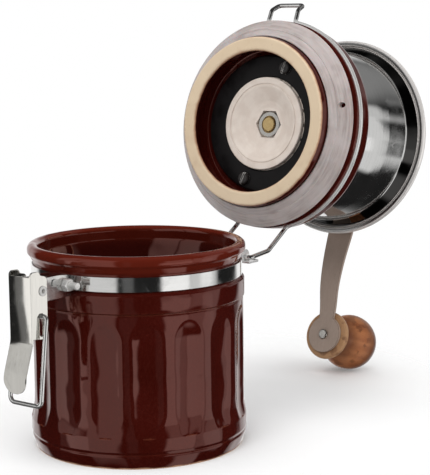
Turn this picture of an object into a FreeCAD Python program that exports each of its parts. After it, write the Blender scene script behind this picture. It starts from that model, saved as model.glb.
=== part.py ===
import FreeCAD, Part
import math
import os
from FreeCAD import Placement, Rotation, Vector

# Manual coffee grinder: a fluted ceramic jar with a clamp lid, and a hand mill set in the lid.
# Origin at the middle of the jar's foot. +Z up, +X towards the lid hinge, -X towards the latch.
# The lid group is drawn closed and then turned open about the hinge wire.

# Clearances
face_gap = 0.3            # between curved faces of different parts
run_gap = 0.06            # radial, shaft or pin in its bore
hole_gap = 0.1            # radial, fastener in a drilled hole

# Jar
rim_radius = 52.15        # centre circle of the rolled rim
rim_roll = 2.85           # radius of the roll
rim_height = 100.78       # height of the roll's centre
band_high = rim_height - 6.98
band_low = band_high - 7.1
jar_inner_radius = rim_radius - 9.65
jar_floor = 19.0
body_radius = rim_radius + 1.45      # fluted wall, crest of the ridges
collar_radius = body_radius + 0.7    # plain wall between the band and the flutes
collar_low = band_low - 10.9
foot_radius = body_radius - 0.6
foot_ridge_radius = body_radius + 1.2
foot_ridge_height = 9.0
foot_groove_out = foot_radius - 10.0
foot_groove_in = foot_groove_out - 5.0
foot_groove_depth = 1.2
flute_count = 16
flute_phase = 0.4         # degrees, middle of the first flute
flute_depth = 1.5
flute_tool_radius = 34.0
flute_low = 17.5
flute_high = collar_low - 4.3

# Neck band and its clamp
band_thickness = 0.6
band_radius = rim_radius + 1.05      # outside
band_seat = band_radius - band_thickness - face_gap
band_middle = (band_low + band_high) / 2
ear_half_gap = 3.6
ear_reach = band_radius + 8.4
clamp_bolt_x = -(band_radius + 5.2)
clamp_bolt_radius = 1.7
clamp_nut_width = 5.6
clamp_nut_height = 3.2
clamp_bolt_end = 13.4

# Latch bracket, lever and bail
bracket_sheet = 1.0
bracket_half_width = 5.4
pivot_x = -(band_radius + 22.2)
pivot_z = band_middle - 0.25
pivot_radius = 1.5
pivot_eye = 4.0
pivot_head_radius = 2.4
pivot_head_height = 0.6
pivot_hollow_radius = 1.1
pivot_hollow_depth = 2.0
lever_half_width = 7.0
lever_sheet = 0.9
lever_face = pivot_x - 7.8  # outside of the web
lever_back = pivot_x + 3.0
lever_low = pivot_z - 22.0
lever_web_top = pivot_z + 7.2
lever_top = pivot_z + 9.4
tongue_tip_x = lever_face - 5.4
tongue_tip_z = pivot_z - 47.4
bail_rod = 1.1
bail_half_width = 10.2
bail_pivot_x = pivot_x - 1.1
bail_pivot_z = pivot_z - 11.7
bail_foot_x = bail_pivot_x - 5.1
bail_foot_z = bail_pivot_z - 42.0
slot_length = 8.4
slot_gap = 0.25

# Lid, closed position
lid_radius = rim_radius + 5.8
wire_ring_radius = lid_radius + 0.05
wire_ring_z = rim_height + 16.62
plug_low = rim_height - 4.58
plug_radius = rim_radius - 5.85
plug_bore = plug_radius - 7.45
plug_neck = plug_radius + 0.8
plug_hollow = plug_radius - 3.7
gasket_out = lid_radius + 0.02
gasket_out_z = wire_ring_z - 7.0
gasket_inner = plug_neck + face_gap
gasket_slope = 42.5       # degrees
gasket_thickness = 2.6
lid_ridge_low = wire_ring_z - 3.7
lid_floor = wire_ring_z + 0.6
lid_shoulder = lid_floor + 8.2
lid_top = lid_floor + 11.2           # lip around the hopper
lid_wall = 5.3
mill_step = lid_floor - 5.0

# Lid hinge
hinge_x = lid_radius + 16.35
hinge_z = band_low - 0.9
open_angle = 99.8
wire_rod = 1.25
hinge_half_width = 16.5
hinge_arm_out = 13.1      # outside faces of the hinge bracket arms
hinge_sheet = 1.1
bracket_base = band_radius + face_gap + hinge_sheet
rivet_out = 7.4
rivet_radius = 1.0
rivet_head = 2.0
hinge_pin_end = 10.4
hinge_eye = 3.7
stop_x = hinge_x + 4.3

# Mill in the lid
housing_tube = 28.2
lid_bore = housing_tube + 0.4
housing_radius = plug_bore - 0.55
housing_low = mill_step - 2.8
housing_wall = 2.0
burr_recess = housing_tube - 1.8
burr_radius = burr_recess - 0.62
burr_low = housing_low - 2.0         # rim of the turning burr
burr_rim = 2.4                       # height of the rim
burr_rise = 8.8                      # height of the cone above the rim
burr_crown = 10.5                    # radius of the cone's flat top
burr_top = burr_low + burr_rim + burr_rise
burr_gap = 0.6
dish_radius = 21.0
dish_depth = 5.6
hub_face = burr_low + dish_depth
pocket_depth = 3.6
fixed_burr_low = burr_low + 3.0
fixed_burr_high = fixed_burr_low + 5.2
throat = 16.4
spider_low = burr_top + 1.6
spider_height = 3.6
spider_hub = 7.0
shaft_radius = 3.2
shaft_end_radius = 4.0
shaft_collar = 6.2
nut_width = 14.0
nut_low = hub_face + 0.4
nut_height = 2.6
nut_turn = 30.0           # degrees, flats level in the stored pose
washer_height = 0.6
pocket_width = nut_width + 0.8
shaft_low = hub_face - 0.4
shaft_collar_height = 1.2
screw_circle = 33.0
screw_angle = 18.5
screw_radius = 2.0
screw_head_radius = 3.6
screw_head_height = 2.2
screw_nut_height = 3.2
stirrup_width = 15.0
stirrup_sheet = 1.2
stirrup_top = lid_floor + 40.0
bush_radius = 5.0
bush_flange = 7.0
adjust_radius = 9.5
adjust_low = stirrup_top + 3.6
adjust_height = 5.5

# Hopper
hopper_sheet = 0.5
housing_top = lid_floor + hopper_sheet - 0.1
hopper_neck = 39.0
hopper_roll = 2.0
hopper_roll_radius = lid_radius - 2.25
hopper_crease_radius = hopper_roll_radius - 5.7
hopper_crease_z = lid_floor + 62.0
hopper_belly_radius = hopper_neck + 0.62 * (hopper_crease_radius - hopper_neck)
hopper_belly_z = lid_floor + 26.9
hopper_belly_curve = 240.0
hopper_roll_z = hopper_crease_z + 8.7

# Crank and knob
crank_angle = -3.0
crank_reach = 117.7
crank_hub_z = hopper_roll_z + 11.7
crank_sheet = 2.0
crank_hub_radius = 11.0
crank_neck_width = 9.8
crank_eye_radius = 10.6
crank_eye_z = crank_hub_z - 19.2
crank_eye_tilt = 10.0
crank_bends = ((73.7, 3.1), (59.7, 7.4), (49.7, 11.1), (38.7, 14.4), (25.7, 16.6))  # back from the eye, drop
square_side = 5.0
cap_nut_width = 10.0
cap_nut_height = 9.0
knob_pin_radius = 2.0
knob_washer_radius = 6.5
knob_washer_height = 0.4
knob_flange_radius = 14.2
knob_ball_radius = 16.5
knob_ball_height = 26.4

Z = Vector(0, 0, 1)
Y = Vector(0, 1, 0)
X = Vector(1, 0, 0)


def cylinder(radius, height, base, direction=Z):
    return Part.makeCylinder(radius, height, base, direction)


def box(x0, x1, y0, y1, z0, z1):
    return Part.makeBox(x1 - x0, y1 - y0, z1 - z0, Vector(x0, y0, z0))


def rounded_path(points, closed=False):
    """Joins points by straight edges with an arc at each corner that names a radius (fourth value)."""
    count = len(points)
    corners = [Vector(*p[:3]) for p in points]
    radii = [p[3] if len(p) > 3 else 0 for p in points]
    ends = []
    for i in range(count):
        here = corners[i]
        before = corners[i - 1]
        after = corners[(i + 1) % count]
        inner = closed or 0 < i < count - 1
        if radii[i] == 0 or not inner:
            ends.append((here, None, here))
            continue
        u = (before - here).normalize()
        v = (after - here).normalize()
        half = u.getAngle(v) / 2
        run = radii[i] / math.tan(half)
        middle = (u + v).normalize()
        crown = here + middle * (radii[i] / math.sin(half) - radii[i])
        ends.append((here + u * run, crown, here + v * run))
    edges = []
    for i in range(count):
        start, crown, stop = ends[i]
        if crown is not None:
            edges.append(Part.Arc(start, crown, stop).toShape())
        if closed or i < count - 1:
            following = ends[(i + 1) % count][0]
            if stop.distanceToPoint(following) > 1e-6:
                edges.append(Part.makeLine(stop, following))
    return edges


def turned(profile):
    """Solid of revolution about Z from closed (radius, height, corner radius) points."""
    points = [(p[0], 0, p[1], p[2] if len(p) > 2 else 0) for p in profile]
    face = Part.Face(Part.Wire(rounded_path(points, True)))
    return face.revolve(Vector(0, 0, 0), Z, 360)


def plate(outline, normal, thickness):
    """Flat plate from a closed outline of corner points, thickened along normal."""
    return Part.Face(Part.Wire(rounded_path(outline, True))).extrude(normal * thickness)


def rod(edges, radius):
    """Round wire swept along a smooth path."""
    path = Part.Wire(edges)
    start = path.OrderedEdges[0]
    first = start.FirstParameter if start.Orientation == "Forward" else start.LastParameter
    point = start.valueAt(first)
    along = start.tangentAt(first)
    ring = Part.Wire(Part.makeCircle(radius, point, along))
    return path.makePipeShell([ring], True, False)


def hexagon_prism(width, height, base):
    """Plain upright hexagon, turned as the burr nut is."""
    across = width / math.sqrt(3)
    corners = [Vector(across, 0, 0)]
    for k in range(1, 7):
        angle = math.radians(60 * k)
        corners.append(Vector(across * math.cos(angle), across * math.sin(angle), 0))
    prism = Part.Face(Part.makePolygon(corners)).extrude(Z * height)
    prism.rotate(Vector(0, 0, 0), Z, nut_turn)
    prism.translate(base)
    return prism


def hexagon(width, height, base, direction=Z):
    """Hexagon nut blank with chamfered ends, its own bore left to the caller."""
    across = width / math.sqrt(3)
    corners = []
    for k in range(6):
        angle = math.radians(60 * k)
        corners.append(Vector(across * math.cos(angle), across * math.sin(angle), 0))
    corners.append(corners[0])
    prism = Part.Face(Part.makePolygon(corners)).extrude(Z * height)
    cone = width / 2 + height
    rise = height * 0.58
    lower = Part.makeCone(width / 2 - 0.2, cone, rise + 0.12)
    upper = Part.makeCone(cone, width / 2 - 0.2, rise + 0.12, Vector(0, 0, height - rise - 0.12))
    belt = Part.makeCylinder(across * 1.2, height)
    low_cut = belt.common(box(-99, 99, -99, 99, rise + 0.12, height)).fuse(lower)
    high_cut = belt.common(box(-99, 99, -99, 99, 0, height - rise - 0.12)).fuse(upper)
    nut = prism.common(low_cut).common(high_cut)
    nut.Placement = Placement(base, Rotation(Z, direction))
    return nut


def turn_z(shape, angle):
    copy = shape.copy()
    copy.rotate(Vector(0, 0, 0), Z, angle)
    return copy


def around_z(shape, count, first=0):
    return [turn_z(shape, first + 360.0 * k / count) for k in range(count)]


def opened(shape):
    """Turns a closed lid part to its open place about the hinge wire."""
    copy = shape.copy()
    copy.rotate(Vector(hinge_x, 0, hinge_z), Y, open_angle)
    return copy


def jar():
    shoulder = band_high + 0.9
    outer = [
        (foot_groove_out, 0, 0.4), (foot_radius - 0.6, 0, 1.0), (foot_ridge_radius - 0.2, 6.6, 1.5),
        (foot_ridge_radius - 0.6, 7.6, 0.4), (foot_ridge_radius, foot_ridge_height, 1.0),
        (foot_ridge_radius, 15.5, 6.0), (body_radius, 21.0, 8.0), (body_radius, collar_low - 1.2, 1.5),
        (collar_radius - 1.1, collar_low, 0.3), (collar_radius, collar_low + 0.5, 0.5),
        (collar_radius, band_low - 1.8, 1.4), (band_seat, band_low - 0.4, 0.6), (band_seat, shoulder, 0.6),
        (rim_radius + rim_roll - 1.2, rim_height - rim_roll - 0.2, 1.0),
        (rim_radius + rim_roll, rim_height - 1.6, 1.4),
        (rim_radius + rim_roll, rim_height + rim_roll, rim_roll - 0.02),
        (rim_radius - rim_roll, rim_height + rim_roll, rim_roll - 0.02),
        (rim_radius - rim_roll, rim_height - 4.0, 3.0), (jar_inner_radius, band_low - 4, 8.0),
        (jar_inner_radius, jar_floor, 9.0), (0, jar_floor), (0, 0),
        (foot_groove_in, 0, 0.4), (foot_groove_in, foot_groove_depth, 0.4), (foot_groove_out, foot_groove_depth, 0.4),
    ]
    body = turned(outer)
    reach = body_radius - flute_depth + flute_tool_radius
    half_width = math.sqrt(flute_tool_radius ** 2 - (flute_tool_radius - flute_depth) ** 2)
    low = Vector(reach, 0, flute_low + half_width)
    high = Vector(reach, 0, flute_high - half_width)
    tool = cylinder(flute_tool_radius, high.z - low.z, low)
    tool = tool.fuse([Part.makeSphere(flute_tool_radius, low), Part.makeSphere(flute_tool_radius, high)])
    tool = tool.removeSplitter()
    return body.cut(around_z(tool, flute_count, flute_phase))


def neck_band():
    ring = cylinder(band_radius, band_high - band_low, Vector(0, 0, band_low))
    ring = ring.cut(cylinder(band_radius - band_thickness, band_high - band_low, Vector(0, 0, band_low)))
    ring = ring.cut(box(-band_radius - 1, 0, -ear_half_gap, ear_half_gap, band_low - 1, band_high + 1))
    inner = math.sqrt((band_radius - band_thickness) ** 2 - ear_half_gap ** 2)
    for side in (-1, 1):
        near = side * ear_half_gap
        far = side * (ear_half_gap + band_thickness)
        ear = box(-ear_reach, -inner, min(near, far), max(near, far), band_low, band_high)
        ring = ring.fuse(ear)
    bolt_hole = cylinder(clamp_bolt_radius + hole_gap, 12, Vector(clamp_bolt_x, -6, band_middle), Y)
    ring = ring.cut(bolt_hole)
    for y in (-rivet_out, rivet_out):
        ring = ring.cut(cylinder(rivet_radius + hole_gap, 8, Vector(band_radius - 4.2, y, band_middle), X))
    return ring.removeSplitter()


def clamp_bolt():
    head = hexagon(clamp_nut_width, 2.4, Vector(clamp_bolt_x, bracket_half_width, band_middle), Y)
    length = bracket_half_width + clamp_bolt_end
    shank = cylinder(clamp_bolt_radius, length, Vector(clamp_bolt_x, -clamp_bolt_end, band_middle), Y)
    return head.fuse(shank).removeSplitter()


def clamp_nut():
    start = Vector(clamp_bolt_x, -bracket_half_width, band_middle)
    nut = hexagon(clamp_nut_width, clamp_nut_height, start, Y * -1)
    return nut.cut(cylinder(clamp_bolt_radius + run_gap, clamp_nut_height, start, Y * -1))


def latch_bracket():
    outer = bracket_half_width
    back = -band_radius - 1.0
    foot = band_low - 2.4
    top = band_high + 1.6
    stop = lever_face + lever_sheet + 0.25
    side = plate([
        (back, -outer, foot, 0), (back, -outer, top - 0.8, 1.0), (clamp_bolt_x - 3.6, -outer, top, 6.0),
        (pivot_x - pivot_eye, -outer, top, 3.6), (pivot_x - pivot_eye, -outer, band_low - 0.1, 1.0),
        (stop, -outer, band_low - 0.5, 0.8), (stop, -outer, foot, 0),
    ], Y, 2 * outer)
    hollow = box(stop - 1, back + 1, -outer + bracket_sheet, outer - bracket_sheet, foot + bracket_sheet, top + 4)
    shape = side.cut(hollow)
    clear = cylinder(band_radius + face_gap, top - foot + 2, Vector(0, 0, foot - 1))
    shape = shape.cut(clear)
    ear_room = box(-ear_reach - 0.4, back + 1, -outer + bracket_sheet, outer - bracket_sheet, foot - 1, band_low)
    shape = shape.cut(ear_room)
    shape = shape.cut(cylinder(collar_radius + 2 * face_gap, band_low - foot, Vector(0, 0, foot)))
    shape = shape.cut(cylinder(clamp_bolt_radius + hole_gap, 14, Vector(clamp_bolt_x, -7, band_middle), Y))
    shape = shape.cut(cylinder(pivot_radius + run_gap, 14, Vector(pivot_x, -7, pivot_z), Y))
    for y in (-outer - 0.5, outer):
        shape = shape.fuse(cylinder(2.0, 0.5, Vector(pivot_x + 9.8, y, pivot_z + 2.0), Y))
    return shape.removeSplitter()


def lever_pin():
    """Tubular rivet: a shank with a flat head and a hollow at each end."""
    shank = cylinder(pivot_radius, 2 * lever_half_width, Vector(pivot_x, -lever_half_width, pivot_z), Y)
    reach = lever_half_width + pivot_head_height
    heads = []
    hollows = []
    for side in (-1, 1):
        seat = Vector(pivot_x, side * lever_half_width, pivot_z)
        end = Vector(pivot_x, side * reach, pivot_z)
        heads.append(cylinder(pivot_head_radius, pivot_head_height, seat, Y * side))
        hollows.append(cylinder(pivot_hollow_radius, pivot_hollow_depth, end, Y * -side))
    return shank.fuse(heads).removeSplitter().cut(hollows)


def latch_lever():
    half = lever_half_width
    front = lever_face
    side = plate([
        (front, -half, lever_low, 0.4), (front, -half, lever_top, 2.0), (pivot_x - 2.1, -half, lever_top, 2.0),
        (pivot_x - 1.2, -half, lever_web_top + 0.2, 1.0), (lever_back, -half, pivot_z + 6.4, 2.4),
        (lever_back, -half, pivot_z - 8.0, 3.0), (lever_back - 0.2, -half, lever_low + 3.0, 3.0),
        (pivot_x - 0.2, -half, lever_low - 0.8, 1.6), (pivot_x - 4.0, -half, lever_low - 0.4, 2.0),
        (front + 1.6, -half, lever_low, 0.6),
    ], Y, 2 * half)
    inside = half - lever_sheet
    channel = side.cut(box(front + lever_sheet, lever_back + 5, -inside, inside, lever_low - 8, lever_top + 1))
    channel = channel.cut(box(front - 1, front + lever_sheet + 0.2, -inside, inside, lever_web_top, lever_top + 1))
    tongue = plate([
        (front, -half, lever_low + 2, 0), (front - 0.1, -half, lever_low - 2.0, 14.0),
        (tongue_tip_x, -half, tongue_tip_z + 7.4, 16.0),
        (tongue_tip_x + 0.3, -half, tongue_tip_z, 0.3), (tongue_tip_x + 0.3 + lever_sheet, -half, tongue_tip_z, 0.3),
        (tongue_tip_x + lever_sheet, -half, tongue_tip_z + 7.6, 15.0), (front + lever_sheet, -half, lever_low - 1.8, 13.0),
        (front + lever_sheet, -half, lever_low + 2, 0),
    ], Y, 2 * half)
    outline = plate([
        (tongue_tip_x - 9, -half, lever_low + 3, 0), (tongue_tip_x - 9, half, lever_low + 3, 0),
        (tongue_tip_x - 9, half, tongue_tip_z, 6.6), (tongue_tip_x - 9, -half, tongue_tip_z, 6.6),
    ], X, 30)
    lever = channel.fuse(tongue.common(outline)).removeSplitter()
    lever = lever.cut(cylinder(pivot_radius + run_gap, 20, Vector(pivot_x, -10, pivot_z), Y))
    reach = bail_rod + slot_gap
    slot = cylinder(reach, 20, Vector(bail_pivot_x, -10, bail_pivot_z), Y)
    slot = slot.fuse(cylinder(reach, 20, Vector(bail_pivot_x, -10, bail_pivot_z - slot_length), Y))
    low = bail_pivot_z - slot_length
    slot = slot.fuse(box(bail_pivot_x - reach, bail_pivot_x + reach, -10, 10, low, bail_pivot_z))
    return lever.cut(slot.removeSplitter())


def latch_bail():
    end = lever_half_width - lever_sheet - 1.0
    wide = bail_half_width
    points = [
        (bail_pivot_x, end, bail_pivot_z, 0), (bail_pivot_x, wide, bail_pivot_z, 2.0),
        (bail_foot_x, wide, bail_foot_z, 3.0), (bail_foot_x, -wide, bail_foot_z, 3.0),
        (bail_pivot_x, -wide, bail_pivot_z, 2.0), (bail_pivot_x, -end, bail_pivot_z, 0),
    ]
    return rod(rounded_path(points), bail_rod)


def hinge_bracket():
    out = hinge_arm_out
    tip = hinge_x + hinge_eye
    base = band_radius - 4.2
    low = hinge_z - 5
    side = plate([
        (base, -out, band_low + 0.1, 0), (base, -out, band_high, 0), (bracket_base + 5.4, -out, band_high, 5.0),
        (hinge_x - 8.3, -out, hinge_z + 4.8, 5.0), (tip, -out, hinge_z + 4.2, 3.6), (tip, -out, hinge_z - 2.7, 0.5),
        (hinge_x - 6.3, -out, hinge_z - 2.7, 3.0), (bracket_base + 6.4, -out, band_low + 0.1, 3.0),
    ], Y, 2 * out)
    room = box(bracket_base, tip + 1, -out + hinge_sheet, out - hinge_sheet, low, band_high + 1)
    shape = side.cut(room)
    shape = shape.cut(cylinder(band_radius + face_gap, band_high + 1 - low, Vector(0, 0, low)))
    shelf_top = hinge_z - wire_rod - 0.4
    shelf = box(hinge_x - 3, stop_x + 1, -hinge_half_width - 1.4, hinge_half_width + 1.4, shelf_top - 1.1, shelf_top)
    lip = box(stop_x, stop_x + 1, -hinge_half_width - 1.4, hinge_half_width + 1.4, shelf_top - 1.1, shelf_top + 0.4)
    shape = shape.fuse(shelf).fuse(lip)
    shape = shape.cut(cylinder(wire_rod + run_gap, 40, Vector(hinge_x, -20, hinge_z), Y))
    for y in (-rivet_out, rivet_out):
        shape = shape.cut(cylinder(rivet_radius + hole_gap, 8, Vector(band_radius - 4.2, y, band_middle), X))
    return shape.removeSplitter()


def hinge_rivets():
    rivets = []
    for y in (-rivet_out, rivet_out):
        inside = math.sqrt((band_radius - band_thickness) ** 2 - (abs(y) - rivet_radius) ** 2)
        shank = cylinder(rivet_radius, bracket_base - inside, Vector(inside, y, band_middle), X)
        head = cylinder(rivet_head, 0.9, Vector(bracket_base, y, band_middle), X)
        rivets.append(shank.fuse(head).removeSplitter())
    return Part.Compound(rivets)


def gasket_line(radius, lift):
    """Height of a line parallel to the gasket's underside, lifted square to it."""
    slope = math.tan(math.radians(gasket_slope))
    return gasket_out_z + (radius - gasket_out) * slope + lift / math.cos(math.radians(gasket_slope))


def lid_body():
    seat = gasket_thickness + face_gap
    groove = wire_rod + face_gap
    inner_seat = gasket_line(plug_neck, seat)
    shoulder = lid_radius - 1.55
    outer_seat = gasket_line(shoulder, seat)
    body = turned([
        (plug_bore, plug_low, 1.6), (plug_radius, plug_low, 1.2), (plug_neck, plug_low + 3.4, 1.0),
        (plug_neck, inner_seat, 0.6), (shoulder, outer_seat, 0.8), (lid_radius, lid_ridge_low + 0.8, 1.0),
        (lid_radius, lid_shoulder, 3.0), (lid_radius - 3.3, lid_top, 1.6), (lid_radius - lid_wall, lid_top, 0.8),
        (lid_radius - lid_wall, lid_floor, 2.5), (lid_bore, lid_floor, 0.4), (lid_bore, mill_step, 0.4),
        (plug_hollow, mill_step, 1.5), (plug_hollow, plug_low + 5.6, 3.0), (plug_bore, plug_low + 2.6, 1.2),
    ])
    ring = Part.makeTorus(wire_ring_radius, groove, Vector(0, 0, wire_ring_z), Z)
    body = body.cut(ring)
    hole = cylinder(screw_radius + hole_gap + 0.1, 30, Vector(screw_circle, 0, mill_step - 2))
    return body.cut(around_z(hole, 2, screw_angle))


def lid_gasket():
    inner = gasket_inner
    shape = turned([
        (inner, gasket_line(inner, 0), 0.5), (gasket_out, gasket_out_z, 0.9),
        (gasket_out - 1.77, gasket_line(gasket_out - 1.77, gasket_thickness), 0.6), (inner, gasket_line(inner, gasket_thickness), 0.3),
    ])
    ridge_radius = gasket_out - 6.37
    groove = Part.makeTorus(ridge_radius, 0.5, Vector(0, 0, gasket_line(ridge_radius, -0.25)), Z)
    shape = shape.cut(groove)
    spot = turn_z(cylinder(1.5, 12, Vector(gasket_out - 4.57, 0, gasket_out_z - 8.4)), 257.5)
    return shape.cut(spot)


def lid_wire():
    ring = wire_ring_radius
    height = wire_ring_z
    half = hinge_half_width
    back_angle = math.radians(22.0)
    front_angle = math.radians(14.0)
    catch_half = 9.2
    bx = ring * math.cos(back_angle)
    by = ring * math.sin(back_angle)
    fx = -ring * math.cos(front_angle)
    fy = ring * math.sin(front_angle)
    run_back = (by - half) / math.cos(back_angle)
    run_front = (fy - catch_half) / math.cos(front_angle)
    root_x = bx + run_back * math.sin(back_angle)
    catch_x = fx - run_front * math.sin(front_angle)

    def tail(side, start):
        return [
            (bx, side * by, height, 0), (root_x, side * half, height, 2.6), (hinge_x - 4.3, side * half, height - 15.8, 4.0),
            (hinge_x, side * half, hinge_z, 2.0), (hinge_x, side * hinge_pin_end, hinge_z, 0),
        ][::start]

    catch = [
        (fx, -fy, height, 0), (catch_x, -catch_half, height, 1.4), (-ring - 6.6, -9.0, height + 2.0, 3.0),
        (-ring - 10.2, -8.4, height + 7.8, 2.4), (-ring - 10.2, 8.4, height + 7.8, 2.4),
        (-ring - 6.6, 9.0, height + 2.0, 3.0),
        (catch_x, catch_half, height, 1.4), (fx, fy, height, 0),
    ]
    near_arc = Part.Arc(Vector(bx, -by, height), Vector(0, -ring, height), Vector(fx, -fy, height)).toShape()
    far_arc = Part.Arc(Vector(fx, fy, height), Vector(0, ring, height), Vector(bx, by, height)).toShape()
    edges = rounded_path(tail(-1, -1)) + [near_arc] + rounded_path(catch) + [far_arc] + rounded_path(tail(1, 1))
    return rod(edges, wire_rod)


def mill_housing():
    tube_inner = housing_tube - housing_wall
    body = turned([
        (burr_recess, housing_low, 0.5), (housing_radius, housing_low, 1.0), (housing_radius, mill_step - 0.1, 0.4),
        (housing_tube, mill_step - 0.1, 0), (housing_tube, housing_top, 0.5), (throat + 2.0, housing_top, 0),
        (throat + 2.0, spider_low + 1.4, 0.6), (throat, spider_low + 1.4, 0.6), (throat, fixed_burr_high, 0),
        (tube_inner + 0.2, fixed_burr_high, 0), (burr_recess, housing_low + 1.2, 0),
    ])
    spoke = box(spider_hub - 2, throat + 1.0, -1.6, 1.6, spider_low, spider_low + spider_height)
    hub = cylinder(spider_hub, 2 * spider_height, Vector(0, 0, spider_low))
    body = body.fuse(around_z(spoke, 3, 30)).fuse(hub)
    body = body.cut(cylinder(bush_radius, 40, Vector(0, 0, housing_low)))
    hole = cylinder(screw_radius + hole_gap, 10, Vector(screw_circle, 0, housing_low - 1))
    return body.cut(around_z(hole, 2, screw_angle)).removeSplitter()


def lower_bush():
    flange = 2 * spider_height
    body = cylinder(bush_radius, flange + 1.2, Vector(0, 0, spider_low))
    body = body.fuse(cylinder(spider_hub - 0.4, 1.2, Vector(0, 0, spider_low + flange)))
    return body.cut(cylinder(shaft_radius + run_gap, 12, Vector(0, 0, spider_low - 1))).removeSplitter()


def burr_cone(height):
    """Radius of the turning burr's cone at a height."""
    fall = (height - burr_low - burr_rim) / burr_rise
    return burr_radius - (burr_radius - burr_crown) * fall


def burr_tooth(lift, lean):
    """Tool for one tooth gap along the burr cone, lifted off it and leaning to one side."""
    run = burr_radius - burr_crown
    slope = math.degrees(math.atan2(burr_rise, run))
    length = math.hypot(burr_rise, run)
    tooth = box(-1, length + 1, -0.8, 0.8, lift - 0.7, lift + 0.7)
    tooth.rotate(Vector(0, 0, 0), Z, lean)
    tooth.rotate(Vector(0, 0, 0), Y, -slope)
    tooth.translate(Vector(-burr_radius, 0, burr_low + burr_rim))
    return tooth


def fixed_burr():
    low = fixed_burr_low
    high = fixed_burr_high
    outer = burr_recess - face_gap
    ring = turned([(burr_cone(low) + burr_gap, low, 0), (outer, low, 0.3), (outer, high, 0), (throat, high, 0)])
    return ring.cut(around_z(burr_tooth(burr_gap, 12), 20))


def grinding_disc():
    """Turning burr: a cone with teeth outside, dished below, with a pocket for its nut."""
    rim = burr_low + burr_rim
    disc = turned([
        (0, hub_face), (dish_radius * 0.45, hub_face, 2.0), (dish_radius * 0.62, hub_face - 1.2, 6.0),
        (dish_radius, burr_low, 4.0), (burr_radius, burr_low, 0.6), (burr_radius, rim, 0.2),
        (burr_crown, burr_top, 1.0), (0, burr_top),
    ])
    groove_out = burr_radius - 3.4
    groove_in = groove_out - 0.8
    groove = turned([(groove_in, burr_low - 1), (groove_out, burr_low - 1), (groove_out, burr_low + 0.4),
                     (groove_in, burr_low + 0.4)])
    disc = disc.cut(groove).cut(around_z(burr_tooth(0, -12), 20, 5))
    disc = disc.cut(hexagon_prism(pocket_width, pocket_depth + 1, Vector(0, 0, hub_face - 1)))
    return disc.cut(cylinder(shaft_end_radius + hole_gap, 20, Vector(0, 0, burr_low)))


def burr_washer():
    low = nut_low + nut_height
    ring = cylinder(nut_width / 2 - 0.2, washer_height, Vector(0, 0, low))
    return ring.cut(cylinder(shaft_end_radius + hole_gap, 4, Vector(0, 0, low - 1)))


def burr_nut():
    nut = hexagon(nut_width, nut_height, Vector(0, 0, nut_low))
    nut.rotate(Vector(0, 0, 0), Z, nut_turn)
    nut = nut.cut(Part.makeCone(shaft_end_radius + 0.9, shaft_end_radius, 0.9, Vector(0, 0, nut_low)))
    return nut.cut(cylinder(shaft_end_radius + run_gap, nut_height + 2, Vector(0, 0, nut_low - 1)))


def mill_screws():
    screws = []
    for base in (0, 180):
        tip = lid_floor + hopper_sheet + stirrup_sheet + screw_nut_height + 1.0
        shank = cylinder(screw_radius, tip - housing_low, Vector(screw_circle, 0, housing_low))
        head = turned([
            (0, housing_low - screw_head_height), (screw_head_radius, housing_low - screw_head_height, 1.2),
            (screw_head_radius, housing_low), (0, housing_low),
        ])
        low = housing_low - screw_head_height
        slot = box(-6, 6, -0.5, 0.5, low - 1, low + 0.9)
        head = head.cut(slot)
        head.translate(Vector(screw_circle, 0, 0))
        screws.append(turn_z(shank.fuse(head).removeSplitter(), screw_angle + base))
    return Part.Compound(screws)


def screw_nuts():
    low = lid_floor + hopper_sheet + stirrup_sheet
    nuts = []
    for base in (0, 180):
        nut = hexagon(7.0, screw_nut_height, Vector(screw_circle, 0, low))
        nut = nut.cut(cylinder(screw_radius + run_gap, screw_nut_height + 2, Vector(screw_circle, 0, low - 1)))
        nuts.append(turn_z(nut, screw_angle + base))
    return Part.Compound(nuts)


def hopper_bowl():
    roll = hopper_roll
    centre = Vector(hopper_roll_radius, 0, hopper_roll_z)
    lift = lid_floor + hopper_sheet
    wall = rounded_path([
        (housing_tube + face_gap, 0, lift, 0), (hopper_neck - 0.4, 0, lift, 1.2),
        (hopper_belly_radius, 0, hopper_belly_z, hopper_belly_curve),
        (hopper_crease_radius - hopper_sheet, 0, hopper_crease_z, 2.5),
        (centre.x - roll + 0.1, 0, hopper_roll_z - 0.4, 0),
    ])
    last = wall[-1].Vertexes[-1].Point
    radius = last.distanceToPoint(centre)
    middle = centre + Vector(radius * math.cos(math.radians(25)), 0, radius * math.sin(math.radians(25)))
    end = centre + Vector(radius * math.cos(math.radians(-130)), 0, radius * math.sin(math.radians(-130)))
    curl = Part.Arc(last, middle, end).toShape()
    path = Part.Wire(wall + [curl])
    face = path.makeOffset2D(-hopper_sheet, 0, True, True, False)
    bowl = face.revolve(Vector(0, 0, 0), Z, 360)
    hole = cylinder(screw_radius + hole_gap, 10, Vector(screw_circle, 0, lid_floor - 2))
    return bowl.cut(around_z(hole, 2, screw_angle))


def shaft_stirrup():
    half = stirrup_width / 2
    floor = lid_floor + hopper_sheet
    foot = screw_circle + 3.4
    knee = 26.4
    path = Part.Wire(rounded_path([
        (foot, -half, floor, 0), (knee, -half, floor, 3.4), (16.0, -half, stirrup_top, 5.0),
        (-16.0, -half, stirrup_top, 5.0), (-knee, -half, floor, 3.4), (-foot, -half, floor, 0),
    ]))
    face = path.makeOffset2D(-stirrup_sheet, 0, True, True, False)
    strap = face.extrude(Y * stirrup_width)
    strap = strap.cut(cylinder(bush_radius, 20, Vector(0, 0, stirrup_top - 10)))
    for x in (-screw_circle, screw_circle):
        strap = strap.cut(cylinder(screw_radius + hole_gap, 10, Vector(x, 0, floor - 5)))
    return turn_z(strap, screw_angle)


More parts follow.
